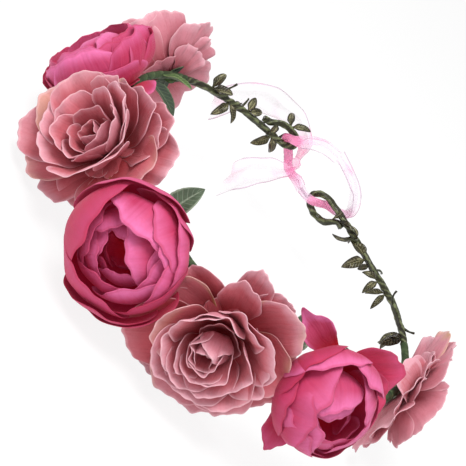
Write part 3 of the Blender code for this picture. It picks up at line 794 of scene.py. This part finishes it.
PEONY_LEFT_REAR = dict(
    outer=(
        whorl(268, 18, 25, (94, 112, 120), 40, 1.1, 3, -1, ruffle=0.5, ochre=0.5),
        whorl(12, 33, 27, (80, 48, 42), 60, 0.95),
        whorl(36, 33, 28, (80, 50, 44), 60, 0.9),
        whorl(60, 31, 27, (82, 54, 48), 60, 0.6, 3, 1, ruffle=0.9),
        whorl(86, 27, 25, (88, 66, 64), 60, 0.95, 4, ruffle=1.0),
        whorl(109, 30, 24, (88, 68, 66), 60, 0.8, 4, 1, ruffle=1.0),
        whorl(132, 27, 24, (90, 72, 72), 60, 0.95, 4, ruffle=1.0),
        whorl(155, 29, 24, (90, 74, 76), 60, 0.6, 4, ruffle=0.9),
        whorl(96, 17, 20, (92, 76, 66), 60, 1.0, 5, -1, ruffle=1.0),
        whorl(140, 18, 22, (94, 80, 72), 60, 0.95, 5, -1, ruffle=1.0),
        whorl(174, 29, 25, (94, 82, 80), 60, 1.0, 4, -1, ruffle=1.1, roll=1.0),
        whorl(192, 31, 22, (92, 80, 84), 40, 0.85, ruffle=0.9, notch=0.1),
        whorl(222, 35, 27, (94, 88, 88), 50, 1.0, 3, -1),
        whorl((250, 283, 315, 345), 33, 30, (86, 60, 54), 60, 0.7),
        whorl((235, 268, 300, 330), 28, 27, (84, 50, 42), 80, 0.5, 3, 2),
    ),
    inner=(
        whorl((20, 78, 140, 205, 262, 318), 25, 25, (74, 40, 30), 100, 0.75, 2, 4),
        whorl((50, 118, 180, 240, 300), 21, 22, (68, 30, 8), 110, 0.8, 2, 5),
    ),
    core=PEONY_HEART)

PEONY_RIGHT_REAR = dict(
    outer=(
        whorl(24, 34, 20, (92, 95, 95), 60, 1.0, notch=-0.1, twist=10),
        whorl(46, 35, 28, (92, 92, 88), 60, 0.9, ruffle=0.9, ochre=1.0),
        whorl(72, 31, 27, (92, 84, 80), 60, 0.9, ruffle=1.0, roll=1.0),
        whorl(98, 28, 26, (90, 80, 78), 60, 0.75, 4, ruffle=1.1),
        whorl(126, 30, 26, (92, 102, 112), 60, 1.1, 4, ruffle=1.1),
        whorl(152, 33, 27, (92, 104, 116), 60, 1.1, 4, ruffle=0.9),
        whorl(180, 31, 27, (92, 98, 106), 60, 0.9, 4, ruffle=0.9),
        whorl(84, 20, 24, (94, 96, 94), 50, 1.0, 5, roll=0.8),
        whorl(58, 19, 22, (94, 94, 90), 50, 0.9, 5, roll=0.8),
        whorl(150, 16, 22, (96, 84, 76), 50, 0.8, 6, -1, ruffle=1.0),
        whorl((208, 232), 30, 20, (92, 86, 84), 50, 0.6),
        whorl(112, 24, 23, (85, 148, 200), 40, 2.8, 4, 2, ruffle=0.4, at=(-9, 0)),
        whorl(100, 20, 22, (85, 140, 185), 40, 2.4, 4, 4, ruffle=0.4, at=(1, 0)),
        whorl((268, 305), 28, 28, (90, 74, 70), 60, 0.5, ruffle=0.9),
        whorl(340, 27, 28, (90, 80, 74), 70, 0.95, ruffle=0.9),
    ),
    inner=(
        whorl(5, 26, 26, (82, 60, 52), 80, 0.95, 2, 3),
        whorl((55, 110, 165, 220, 275, 325), 23, 25, (78, 48, 42), 80, 0.65, 2, 3),
        whorl((30, 90, 150, 210, 270, 335), 19, 21, (70, 34, 20), 100, 0.75, 2, 4),
    ),
    core=(
        whorl((0, 70, 140, 215, 285), 13, 15, (56, 26, 12), 120, 0.75, 1, 5),
        whorl((35, 105, 180, 250, 320), 10, 11, (42, 14, -4), 140, 0.6, 1, 5, ruffle=0.7),
    ))

FLOWERS = (
    Flower("peony_left_rear", -110.0, -0.0055, -112.0, 0.0, 1.0, DUSTY, **PEONY_LEFT_REAR),
    Flower("ranunculus_left", -77.0, -0.0085, -82.0, 22.0, 0.70, HOT, **RANUNCULUS_LEFT),
    Flower("peony_left_front", -46.5, -0.0060, -37.0, 12.0, 1.0, DUSTY, **PEONY_LEFT_FRONT),
    Flower("ranunculus_front_left", -18.5, -0.0115, -6.0, 8.0, 0.70, HOT, **RANUNCULUS_FRONT_LEFT),
    Flower("peony_front", 10.0, -0.0045, 10.0, -2.0, 1.0, DUSTY, **PEONY_FRONT),
    Flower("ranunculus_front_right", 36.0, 0.0038, 33.5, 18.0, 0.70, HOT,
           **RANUNCULUS_FRONT_RIGHT),
    Flower("peony_right_rear", 94.0, -0.0063, 97.0, 4.0, 0.85, DUSTY, **PEONY_RIGHT_REAR),
)


def flower_seat(flower):
    """The middle of a flower's base, and the way it faces."""
    seat = on_ring(flower.angle, RING_RADIUS + VINE_RADIUS + SEAT_STANDOFF, flower.height)
    return seat, direction(flower.heading, flower.tilt)


def add_flower(flower, back, face):
    seat, facing = flower_seat(flower)
    placed = frame_at(seat, facing) @ Matrix.Scale(flower.depth, 4, (0.0, 0.0, 1.0))
    draw = random.Random(flower.name)
    layers = (("outer", "outer_petals", (*flower.outer, BASE_PLATE)),
              ("inner", "inner_petals", (*flower.inner, BASE_CUP)), ("core", "heart", flower.core))
    for layer, node, whorls in layers:
        piece = petal_mesh(f"{flower.name}_{layer}_cloth", placed, whorls, draw, back, face)
        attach(piece, "front_band")
        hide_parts(f"{flower.name}_{node}")


# ---------------------------------------------------------------- band and vines

# The bare arms either side of the opening at the back. An eyelet stands on the ring when rising
# is 1 and hangs below it when rising is -1; an arm dips by its sag at the end and its bow midway.
Arm = namedtuple("Arm", "name side start half_height rising sag bow")
LEFT_ARM = Arm("left_arm", -1.0, 153.0, 0.0044, 1.0, 0.0, 0.0)
RIGHT_ARM = Arm("right_arm", 1.0, 169.0, 0.0056, -1.0, 0.0012, 0.0016)
SAG_START = 132.0
BAND_STEP = 3
OVERLAP = 0.3
EYELET_STEPS = 24
CURVE_STEPS = 12
RING_SIDES = 14
STRIDE = 0.0009
TAPE_PITCH = 0.009
TWIST_PITCH = 0.026
TWIG_RADIUS = 0.00055
TWIG_STEPS = 6
TWIG_STRIDE = 0.0007


def arm_place(arm, angle):
    """A point on the middle of an arm's vine, which dips towards its eyelet."""
    share = min(1.0, max(0.0, (angle - SAG_START) / (arm.start - SAG_START)))
    return on_ring(arm.side * angle, height=-arm.sag * share - arm.bow * sin(pi * share))


def arm_route(arm):
    """From the flex point along the ring, round the eyelet, and back beside the arm."""
    count = round((arm.start - FLEX_ANGLE) / BAND_STEP)
    start = FLEX_ANGLE - OVERLAP
    points = [arm_place(arm, start + (arm.start - start) * i / count) for i in range(count)]
    centre = arm.start + degrees(EYELET_HALF_LENGTH / RING_RADIUS)
    for index in range(EYELET_STEPS + 1):
        turn = radians(-90.0 + EYELET_TURN * index / EYELET_STEPS)
        angle = centre + degrees(EYELET_HALF_LENGTH * cos(turn) / RING_RADIUS)
        height = arm.rising * arm.half_height * (1.0 + sin(turn)) - arm.sag
        points.append(on_ring(arm.side * angle, height=height))
    beside = arm.rising * (2.0 * VINE_RADIUS + 2.0 * FIT) - arm.sag
    for share in (0.3, 1.0):
        back = arm.start - degrees(EYELET_TAIL * share / RING_RADIUS)
        points.append(on_ring(arm.side * back, height=beside))
    return points


def even_route(points, stride=STRIDE):
    """Points at even steps along the smooth curve through a route."""
    fine = []
    ends = [points[0], *points, points[-1]]
    for index in range(1, len(ends) - 2):
        before, start, end, after = ends[index - 1:index + 3]
        for step in range(CURVE_STEPS):
            t = step / CURVE_STEPS
            first = (end - before) / 2.0
            last = (after - start) / 2.0
            fine.append((2 * t ** 3 - 3 * t * t + 1) * start + (t ** 3 - 2 * t * t + t) * first
                        + (3 * t * t - 2 * t ** 3) * end + (t ** 3 - t * t) * last)
    fine.append(points[-1])
    spaced = [fine[0]]
    for place in fine[1:]:
        gap = (place - spaced[-1]).length
        while gap >= stride:
            spaced.append(spaced[-1].lerp(place, stride / gap))
            gap = (place - spaced[-1]).length
    return spaced


def sweep(bm, layers, route, section):
    """Draws a ring along a route. section gives radius and groove for a turn and a distance."""
    normal = None
    ring = bmesh.ops.create_circle(bm, cap_ends=True, segments=RING_SIDES, radius=1.0)["verts"]
    for vert in ring:
        vert[layers["turn"]] = vert.co.to_2d().angle_signed(Vector((1.0, 0.0)))
    edges = [edge for edge in bm.edges if edge.verts[0] in ring and edge.verts[1] in ring]
    run = 0.0
    for index, place in enumerate(route):
        forward = route[min(index + 1, len(route) - 1)] - route[max(index - 1, 0)]
        forward.normalize()
        if normal is None:
            normal = forward.orthogonal().normalized()
        else:
            run += (place - route[index - 1]).length
            normal = (normal - forward * normal.dot(forward)).normalized()
            made = bmesh.ops.extrude_edge_only(bm, edges=edges)["geom"]
            ring = [item for item in made if isinstance(item, bmesh.types.BMVert)]
            edges = [item for item in made if isinstance(item, bmesh.types.BMEdge)
                     and item.verts[0] in ring and item.verts[1] in ring]
        side = forward.cross(normal)
        for vert in ring:
            turn = vert[layers["turn"]]
            radius, groove = section(turn, run)
            vert.co = place + (normal * cos(turn) + side * sin(turn)) * radius
            vert[layers["groove"]] = groove
    bmesh.ops.contextual_create(bm, geom=edges)


def swept_mesh(name, routes, finish):
    """One object from several swept routes, each with its own section."""
    bm = bmesh.new()
    layers = float_layers(bm, "turn", "groove")
    for route, section in routes:
        sweep(bm, layers, route, section)
    bmesh.ops.recalc_face_normals(bm, faces=bm.faces)
    return finished(name, bm, finish)


def tape_section(turn, run):
    """Wound tape: each turn of it ends in a low step, every 9 mm along the band."""
    place = (turn / (2.0 * pi) + run / TAPE_PITCH) % 1.0
    ridge = smooth(0.0, 0.12, place) * (1.0 - 0.5 * place)
    wrinkle = 0.03 * sin(turn * 5.0 + run * 900.0)
    return VINE_RADIUS * (0.90 + 0.14 * ridge + wrinkle), 1.0 - ridge


def vine_section(turn, run):
    """Three strands twisted together, knobbly, one full turn every 26 mm."""
    twist = run / TWIST_PITCH * 2.0 * pi + 1.6 * sin(run * 170.0)
    lobe = abs(sin(1.5 * (turn + twist)))
    knob = noise.noise(Vector((cos(turn), sin(turn), run * 260.0)) * 1.4)
    swell = noise.noise(Vector((0.0, 0.0, run * 110.0)))
    return VINE_RADIUS * (0.80 + 0.22 * lobe + 0.20 * knob + 0.16 * swell), 1.0 - lobe


def add_band(finish):
    end = round(FLEX_ANGLE)
    places = [on_ring(angle) for angle in range(-end, end + 1, BAND_STEP)]
    band = swept_mesh("front_band_tape", [(even_route(places), tape_section)], finish)
    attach(band, "front_band")
    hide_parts("front_band_wrap")


def thin_section(radius):
    return lambda turn, run: (radius * (1.0 + 0.15 * sin(turn * 2.0 + run * 900.0)), 0.4)


# Twigs on an arm: angle, heading and rise it leaves by, length, and how far it turns up or down
# by its tip
Twig = namedtuple("Twig", "angle heading rise length curl")
LEFT_TWIGS = (
    Twig(129.0, 150.0, 30.0, 0.013, 50.0),
    Twig(141.0, -170.0, 55.0, 0.009, -60.0),
    Twig(149.0, 60.0, 35.0, 0.009, 60.0),
)
RIGHT_TWIGS = (
    Twig(124.0, 40.0, 10.0, 0.013, 40.0),
    Twig(131.0, -60.0, 20.0, 0.011, 70.0),
    Twig(147.0, 150.0, 20.0, 0.010, -60.0),
    Twig(158.0, -40.0, 10.0, 0.010, -50.0),
)


def twig_route(arm, twig):
    place = arm_place(arm, twig.angle)
    points = []
    for step in range(TWIG_STEPS + 1):
        points.append(place)
        rise = twig.rise + twig.curl * step / TWIG_STEPS
        place = place + direction(twig.heading, rise) * twig.length / TWIG_STEPS
    return even_route(points, TWIG_STRIDE)


def add_vine(arm, twigs, finish):
    routes = [(even_route(arm_route(arm)), vine_section)]
    for twig in twigs:
        routes.append((twig_route(arm, twig), thin_section(TWIG_RADIUS)))
    vine = swept_mesh(f"{arm.name}_twisted_vine", routes, finish)
    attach(vine, arm.name)
    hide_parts(f"{arm.name}_vine")


# ---------------------------------------------------------------- leaves

LEAF_ACROSS = 11
LEAF_ALONG = 17
LEAF_WALL = 0.0004
LEAF_EDGE = 0.85
VEIN_HEIGHT = 0.00018
# How much longer and wider the leaves are cut than their tables say
PAIR_LENGTHEN = 1.05
CLOTH_LENGTHEN = 1.08
WIDEN = 1.15
# How the small glossy leaves of the vines are pressed, and the curl of the two in a pair
VINE_LEAF = dict(fold=0.75, wave=0.10, blunt=0.35, dome=0.30)
PAIR_CURLS = (62.0, 48.0)
VINE_LEAF_CURL = 55.0
# Roughly towards whoever looks at the crown, from its front and a little above
VIEWER = Vector((0.0, -0.92, 0.39))
SEPAL_LENGTH = 0.0110
SEPAL_HALF_WIDTH = 0.0028
PEONY_SETBACK = 0.0012
RANUNCULUS_SETBACK = 0.0006


def leaf_width(share, blunt):
    """Share of the half width: a narrow neck, widest below the middle, then a tip."""
    neck = 0.13 * (1.0 - smooth(0.08, 0.20, share))
    beyond = max(0.0, (share - 0.42) / 0.58)
    pointed = 1.0 - beyond ** 1.9
    rounded = sqrt(max(0.0, 1.0 - beyond ** 2.6))
    return neck + smooth(0.05, 0.36, share) * (pointed + (rounded - pointed) * blunt) + 0.02


def add_leaf(bm, layers, place, along, normal, length, half_width, fold=0.35, curl=40.0,
             teeth=0.0, wave=0.0, blunt=0.0, dome=0.0):
    """One leaf from its neck: folded along its midrib and curled towards its face or back."""
    across = normal.cross(along).normalized()
    normal = along.cross(across).normalized()
    grid = bmesh.ops.create_grid(bm, x_segments=LEAF_ACROSS, y_segments=LEAF_ALONG, size=1.0)
    for vert in grid["verts"]:
        side = vert.co.x
        share = (vert.co.y + 1.0) / 2.0
        wide = half_width * leaf_width(share, blunt) * side
        if abs(side) > LEAF_EDGE:
            wide *= 1.0 + teeth * abs(sin(share * 26.0))
        bend = radians(curl) * share
        forward = length * sin(bend) / radians(curl)
        drop = length * (1.0 - cos(bend)) / radians(curl)
        lift = abs(wide) * fold - wide * wide / half_width * dome
        lift += half_width * wave * side * sin(share * 9.0)
        vein = VEIN_HEIGHT * sin((share * VEINS - abs(side) * VEIN_CLIMB) * 2.0 * pi) * abs(side)
        vert.co = (place + along * forward + across * wide * (1.0 - 0.2 * fold - 0.2 * dome)
                   + normal * (lift - drop + vein))
        vert[layers["across"]] = side
        vert[layers["along"]] = share


def new_leaves():
    bm = bmesh.new()
    return bm, float_layers(bm, "across", "along")


def finished_leaves(name, bm, finish):
    piece = finished(name, bm, finish)
    thicken(piece, "Leaf", LEAF_WALL)
    soften(piece)
    return piece


# Leaf pairs on the vines: angle, height above the vine's middle, heading and rise of each tip,
# length and half width in millimetres
Pair = namedtuple("Pair", "angle lift tips length half_width")
LEFT_PAIRS = (
    Pair(127.0, 0.0, ((110.0, 40.0), (-160.0, 55.0)), 10.5, 2.6),
    Pair(136.0, 0.0, ((5.0, -30.0), (95.0, -20.0)), 9.5, 2.6),
    Pair(144.0, 0.0, ((120.0, 40.0), (-140.0, 60.0)), 7.5, 2.4),
    Pair(156.0, 0.0, ((95.0, -35.0), (-20.0, -50.0)), 9.5, 2.6),
    Pair(158.4, 8.8, ((105.0, 50.0), (-130.0, 25.0)), 9.5, 2.2),
)
RIGHT_PAIRS = (
    Pair(116.5, 0.0, ((-55.0, -10.0), (-145.0, -50.0)), 12.0, 3.6),
    Pair(137.0, 0.0, ((-70.0, -30.0), (0.0, -40.0)), 9.0, 1.8),
    Pair(142.5, 0.0, ((-15.0, -40.0), (-98.0, -12.0)), 8.5, 2.2),
    Pair(151.5, 0.0, ((-30.0, -35.0), (-100.0, 10.0)), 11.5, 3.2),
    Pair(161.0, 0.0, ((-30.0, -50.0), (150.0, -35.0)), 8.5, 2.6),
)


def add_vine_pair(arm, number, pair, finish):
    """Two leaves that leave the vine at one place."""
    first = direction(*pair.tips[0])
    second = direction(*pair.tips[1])
    tangent = outward(arm.side * pair.angle + 90.0)
    away = first + second
    away = (away - tangent * away.dot(tangent)).normalized()
    place = arm_place(arm, pair.angle) + Vector((0.0, 0.0, mm(pair.lift))) + away * VINE_RADIUS * 0.5
    bm, layers = new_leaves()
    face = first.cross(second).normalized()
    if face.z < 0.0:
        face = -face
    for tip, curl in zip((first, second), PAIR_CURLS):
        add_leaf(bm, layers, place, tip, face, mm(pair.length) * PAIR_LENGTHEN + VINE_RADIUS,
                 mm(pair.half_width) * WIDEN, curl=curl, **VINE_LEAF)
    piece = finished_leaves(f"{arm.name}_leaves_{number}", bm, finish)
    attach(piece, arm.name)
    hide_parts(f"{arm.name}_leaf_pair_{number}")


# Small leaves beside the pairs and on the eyelets: angle, height above the vine's middle, heading
# and rise of the tip, length and half width in millimetres
SmallLeaf = namedtuple("SmallLeaf", "angle lift heading rise length half_width")
LEFT_SMALL_LEAVES = (
    SmallLeaf(139.0, 0.0, -175.0, 20.0, 6.5, 1.9),
    SmallLeaf(153.5, 7.0, 80.0, -60.0, 9.5, 3.2),
    SmallLeaf(160.5, 7.0, -120.0, -45.0, 9.0, 2.4),
)
RIGHT_SMALL_LEAVES = (
    SmallLeaf(119.5, 0.0, -5.0, -44.0, 11.5, 4.0),
    SmallLeaf(117.0, -1.0, -70.0, -20.0, 7.0, 2.4),
    SmallLeaf(149.0, 0.0, -60.0, -60.0, 6.5, 2.0),
    SmallLeaf(159.0, 0.0, -70.0, 50.0, 7.5, 2.2),
    SmallLeaf(166.0, -2.0, 30.0, 50.0, 10.0, 2.6),
    SmallLeaf(169.5, -5.0, 20.0, 75.0, 11.0, 2.4),
)


def add_small_leaves(arm, leaves, finish):
    bm, layers = new_leaves()
    for leaf in leaves:
        along = direction(leaf.heading, leaf.rise)
        place = arm_place(arm, leaf.angle) + Vector((0.0, 0.0, mm(leaf.lift)))
        normal = (outward(arm.side * leaf.angle) * 0.5 + Vector((0.0, -0.5, 0.7))).normalized()
        add_leaf(bm, layers, place, along, normal, mm(leaf.length) + VINE_RADIUS,
                 mm(leaf.half_width), curl=VINE_LEAF_CURL, **VINE_LEAF)
    piece = finished_leaves(f"{arm.name}_small_leaves", bm, finish)
    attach(piece, arm.name)


# Single cloth leaves between the flowers: their slot, angle, heading and rise of the tip, length
# and half width in millimetres
ClothLeaf = namedtuple("ClothLeaf", "slot angle heading rise length half_width")
CLOTH_LEAVES = (
    ClothLeaf("leaf_bright", -99.0, 100.0, 35.0, 14.0, 4.5),
    ClothLeaf("leaf_dark", -88.0, 75.0, 12.0, 20.0, 5.0),
    ClothLeaf("leaf_grey", -22.0, 172.0, 76.0, 18.0, 4.8),
    ClothLeaf("leaf_dark", -6.0, 150.0, -35.0, 14.0, 3.5),
    ClothLeaf("leaf_grey", 27.0, 205.0, 46.0, 20.0, 5.0),
    ClothLeaf("leaf_dark", 62.0, -103.0, 24.0, 21.5, 3.4),
    ClothLeaf("leaf_bright", 84.0, -75.0, 42.0, 14.0, 4.5),
)


def add_cloth_leaf(number, leaf, finish):
    away = (Vector((0.0, 0.0, 1.0)) - outward(leaf.angle)).normalized()
    place = on_ring(leaf.angle) + away * VINE_RADIUS
    along = direction(leaf.heading, leaf.rise)
    normal = along.cross(outward(leaf.angle + 90.0)).normalized()
    if normal.dot(VIEWER) < 0.0:
        normal = -normal
    bm, layers = new_leaves()
    add_leaf(bm, layers, place, along, normal, mm(leaf.length) * CLOTH_LENGTHEN,
             mm(leaf.half_width) * WIDEN, fold=0.30, curl=24.0, teeth=0.10, wave=0.06)
    piece = finished_leaves(f"cloth_leaf_{number}_blade", bm, finish)
    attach(piece, "front_band")
    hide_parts(f"cloth_leaf_{number}")


def add_sepals(flower, finish):
    """Five green sepals behind a flower, pressed against its outer petals."""
    seat, facing = flower_seat(flower)
    setback = PEONY_SETBACK if flower.cloth is DUSTY else RANUNCULUS_SETBACK
    placed = frame_at(seat - facing * setback, facing)
    bm, layers = new_leaves()
    for turn in around(5, 20.0):
        away = placed.to_3x3() @ Vector((cos(radians(turn)), sin(radians(turn)), 0.0))
        add_leaf(bm, layers, placed.translation, away, facing, SEPAL_LENGTH, SEPAL_HALF_WIDTH,
                 fold=0.1, curl=14.0)
    piece = finished_leaves(f"{flower.name}_sepals", bm, finish)
    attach(piece, "front_band")


# ---------------------------------------------------------------- ribbon

# The ribbon's routes: angle on the ring, distance outside the ring and height in millimetres, and
# the share of its full width that it keeps there. The loop passes through both eyelets. Its two
# halves meet behind the head, where the crown opens.
SPLIT = 184.0
LEFT_TIE = -165.0
RIGHT_TIE = 172.0
RIBBON_STANDOFF = 0.0005
KNOT_SEAT = 1000.0 * (KNOT_HEIGHT - KNOT_RADIUS - FIT - RIBBON_STANDOFF)
LOOP_LEFT = (
    (SPLIT, -1.0, -8.9, 0.40), (187.0, 0.2, -8.2, 0.34), (KNOT_ANGLE + 360.0, 1.0, KNOT_SEAT, 0.20),
    (194.5, 4.2, -3.5, 0.20), (198.0, 4.6, 1.5, 0.18), (200.2, 0.0, 4.4, 0.16),
    (198.3, -4.2, 7.5, 0.24), (194.0, -3.5, 13.0, 0.60), (189.5, -1.5, 16.6, 0.80),
    (SPLIT, 0.0, 17.6, 0.86),
)
LOOP_RIGHT = (
    (SPLIT, -1.0, -8.9, 0.40), (180.8, -3.4, -8.6, 0.42), (178.2, -3.6, -7.4, 0.20),
    (176.2, 0.0, -6.6, 0.15), (174.3, 4.4, -5.5, 0.20), (170.5, 5.4, -3.5, 0.32),
    (168.0, 5.4, 1.0, 0.34), (170.0, 4.0, 7.5, 0.55), (175.0, 2.0, 14.2, 0.78),
    (SPLIT, 0.0, 17.6, 0.86),
)
TAIL_START = 4.4
INNER_TAIL = (
    (KNOT_ANGLE, -TAIL_START, -2.8, 0.14), (-168.0, -6.5, -6.0, 0.34), (-163.0, -8.0, -13.5, 0.65),
    (-157.0, -13.0, -21.0, 0.82), (-151.0, -20.0, -26.5, 0.88),
)
OUTER_TAIL = (
    (KNOT_ANGLE, TAIL_START, -1.0, 0.14), (-166.0, 8.5, 7.0, 0.34), (-157.0, 9.5, 11.0, 0.60),
    (-148.0, 9.5, 8.0, 0.78), (-141.0, 9.0, -1.0, 0.82), (-137.0, 8.5, -12.0, 0.82),
)
PLEATS = 2.0
RIBBON_ACROSS = 45
RIBBON_STRIDE = 0.0011
RIBBON_WALL = 0.00012
TAIL_SLANT = 0.004
SWAY = 3.0
SWAY_SCALE = 60.0
SHARPNESS = 0.85


def ribbon_stations(rows):
    """Places along a ribbon at even steps, with the share of its width at each."""
    places = [on_ring(angle, RING_RADIUS + mm(out), mm(height)) for angle, out, height, _ in rows]
    spaced = even_route(places, RIBBON_STRIDE)
    runs = [0.0]
    for first, second in zip(places, places[1:]):
        runs.append(runs[-1] + (second - first).length)
    shares = []
    for index in range(len(spaced)):
        at = index / (len(spaced) - 1) * runs[-1]
        span = max(i for i in range(len(runs) - 1) if runs[i] <= at + 1e-9)
        part = (at - runs[span]) / (runs[span + 1] - runs[span])
        low, high = rows[span][3], rows[span + 1][3]
        shares.append(low + (high - low) * smooth(0.0, 1.0, part))
    return spaced, shares


def pleated_strip(name, rows, hangs, finish):
    """A gathered strip of ribbon: its full width, folded into pleats to the width that shows."""
    stations, shares = ribbon_stations(rows)
    last = len(stations) - 1
    slant = TAIL_SLANT if hangs else 0.0
    bm = bmesh.new()
    layers = float_layers(bm, "across", "along", "gather")
    bmesh.ops.create_grid(bm, x_segments=last, y_segments=RIBBON_ACROSS, size=1.0)
    for vert in bm.verts:
        index = round((vert.co.x + 1.0) / 2.0 * last)
        side = vert.co.y
        place = stations[index]
        share = shares[index]
        wide = RIBBON_WIDTH * share
        deep = sqrt(RIBBON_WIDTH ** 2 - wide ** 2) / (4.0 * PLEATS)
        forward = (stations[min(index + 1, last)] - stations[max(index - 1, 0)]).normalized()
        out = Vector((place.x, place.y, 0.0)).normalized()
        across = forward.cross(out).normalized() if hangs else out
        lift = across.cross(forward).normalized()
        phase = PLEATS * pi * side + SWAY * noise.noise(place * SWAY_SCALE)
        fold = 2.0 * abs((phase / pi) % 2.0 - 1.0) - 1.0
        fold = fold * SHARPNESS + (1.0 - SHARPNESS) * sin(phase)
        vert.co = place + across * side * wide / 2.0 + lift * deep * fold
        vert.co += forward * slant * side * index / last
        vert[layers["across"]] = side
        vert[layers["along"]] = index * RIBBON_STRIDE
        vert[layers["gather"]] = 1.0 - smooth(0.16, 0.50, share)
    strip = finished(name, bm, finish)
    thicken(strip, "Weave", RIBBON_WALL)
    return strip, last * RIBBON_STRIDE


def add_knot(finish):
    """The knot: a ball of gathered ribbon with one turn of ribbon tied round it."""
    bm = bmesh.new()
    layers = float_layers(bm, "across", "along", "gather")
    bmesh.ops.create_uvsphere(bm, u_segments=48, v_segments=24, radius=KNOT_RADIUS)
    centre = on_ring(KNOT_ANGLE, height=KNOT_HEIGHT)
    for vert in bm.verts:
        way = vert.co.normalized()
        ridge = sin(way.z * 11.0 + 2.0 * sin(way.x * 3.0)) * 0.10
        belt = 0.16 * exp(-((way.x * 0.8 + way.y * 0.6) / 0.34) ** 2)
        crease = 0.05 * sin((way.x * 0.6 - way.y * 0.8) * 16.0)
        vert.co = centre + way * KNOT_RADIUS * (0.84 + ridge * (1.0 - belt * 5.0) + belt + crease)
        vert[layers["across"]] = way.z * 0.8
        vert[layers["along"]] = way.x * 0.004
        vert[layers["gather"]] = 0.9
    knot = finished("ribbon_tied_knot", bm, finish)
    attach(knot, "left_arm")
    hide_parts("ribbon_knot")


def add_ribbon(finish):
    meet = on_ring(SPLIT)
    left_end = on_ring(LEFT_TIE)
    right_end = on_ring(RIGHT_TIE)
    parts = (
        ("ribbon_left_half", LOOP_LEFT, False, "ribbon_loop_left", "left_arm", left_end),
        ("ribbon_right_half", LOOP_RIGHT, False, "ribbon_loop_right", "right_arm", right_end),
        ("ribbon_short_tail", INNER_TAIL, True, "ribbon_inner_tail", "left_arm", None),
        ("ribbon_long_tail", OUTER_TAIL, True, "ribbon_outer_tail", "left_arm", None),
    )
    for name, rows, hangs, node, body, tied in parts:
        strip, length = pleated_strip(name, rows, hangs, finish)
        if tied is None:
            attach(strip, body)
        else:
            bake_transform(strip)
        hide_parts(node)


# ---------------------------------------------------------------- stage

def add_floor():
    """A white floor that glows to the camera, so that only a soft part of the shadow shows."""
    bm = bmesh.new()
    bmesh.ops.create_grid(bm, x_segments=1, y_segments=1, size=3.0)
    bmesh.ops.translate(bm, verts=bm.verts, vec=(0.0, 0.0, FLOOR_LEVEL))
    finish = Finish("floor", Roughness=0.9, Base_Color=(0.9, 0.9, 0.9, 1.0))
    glow = finish.node("Emission", Color=(1.0, 1.0, 1.0), Strength=FLOOR_GLOW)
    seen = finish.node("LightPath", output="Is Camera Ray")
    seen = seen.most(finish.node("LightPath", output="Is Glossy Ray"))
    seen = seen.most(finish.node("LightPath", output="Is Transmission Ray"))
    shown = finish.node("MixShader")
    mixer = shown.socket.node
    finish.put(mixer.inputs[0], seen * FLOOR_GLOW_SHARE)
    finish.tree.links.new(finish.shader.outputs[0], mixer.inputs[1])
    finish.tree.links.new(glow.socket, mixer.inputs[2])
    finish.tree.links.new(shown.socket, finish.tree.nodes["Material Output"].inputs["Surface"])
    floor = finished("floor", bm, finish.made)


def add_world():
    world = bpy.data.worlds.new("studio")
    world.use_nodes = True
    bpy.context.scene.world = world
    backdrop = world.node_tree.nodes["Background"]
    backdrop.inputs["Color"].default_value = (1.0, 1.0, 1.0, 1.0)
    backdrop.inputs["Strength"].default_value = SKY_STRENGTH


# ---------------------------------------------------------------- build

add_camera()
add_world()
add_floor()
add_lamp("key", heading=-35.0, rise=62.0, far=0.9, size=0.5, power=7.1)
add_lamp("fill", heading=60.0, rise=35.0, far=1.0, size=0.9, power=1.5)

cloths = {cloth.name: [petal_finish(cloth, side) for side in ("back", "face")]
          for cloth in (DUSTY, HOT)}
greens = {green.slot: leaf_finish(green) for green in LEAF_GREENS}
tape = wrap_finish("floral_tape", (0.018, 0.035, 0.012), (0.055, 0.095, 0.032), (0.13, 0.19, 0.08),
                   0.7)
vine_wrap = wrap_finish("vine_wrap", (0.016, 0.013, 0.006), (0.070, 0.090, 0.030),
                        (0.27, 0.31, 0.15), 0.36)
stem_wrap = stem_finish("stem_wrap", (0.030, 0.060, 0.018), (0.065, 0.125, 0.040),
                        (0.14, 0.21, 0.09))
wire = wire_finish()
organza = organza_finish()

# Vector noise starts from the clock unless it is seeded
noise.seed_set(NOISE_SEED)
for flower in FLOWERS:
    add_flower(flower, *cloths[flower.cloth.name])
    add_sepals(flower, greens["leaf_dark"])
    bpy.data.objects[f"{flower.name}_stem"].material_slots[0].material = stem_wrap
for body in ("front", "left_arm", "right_arm"):
    bpy.data.objects[f"{body}_core_wire"].material_slots[0].material = wire
add_band(tape)
for arm, pairs, twigs, small in ((LEFT_ARM, LEFT_PAIRS, LEFT_TWIGS, LEFT_SMALL_LEAVES),
                                 (RIGHT_ARM, RIGHT_PAIRS, RIGHT_TWIGS, RIGHT_SMALL_LEAVES)):
    add_vine(arm, twigs, vine_wrap)
    add_small_leaves(arm, small, greens["vine_leaf"])
    for number, pair in enumerate(pairs, 1):
        add_vine_pair(arm, number, pair, greens["vine_leaf"])
for number, leaf in enumerate(CLOTH_LEAVES, 1):
    add_cloth_leaf(number, leaf, greens[leaf.slot])
add_knot(organza)
add_ribbon(organza)

bpy.context.scene.view_settings.view_transform = "Standard"
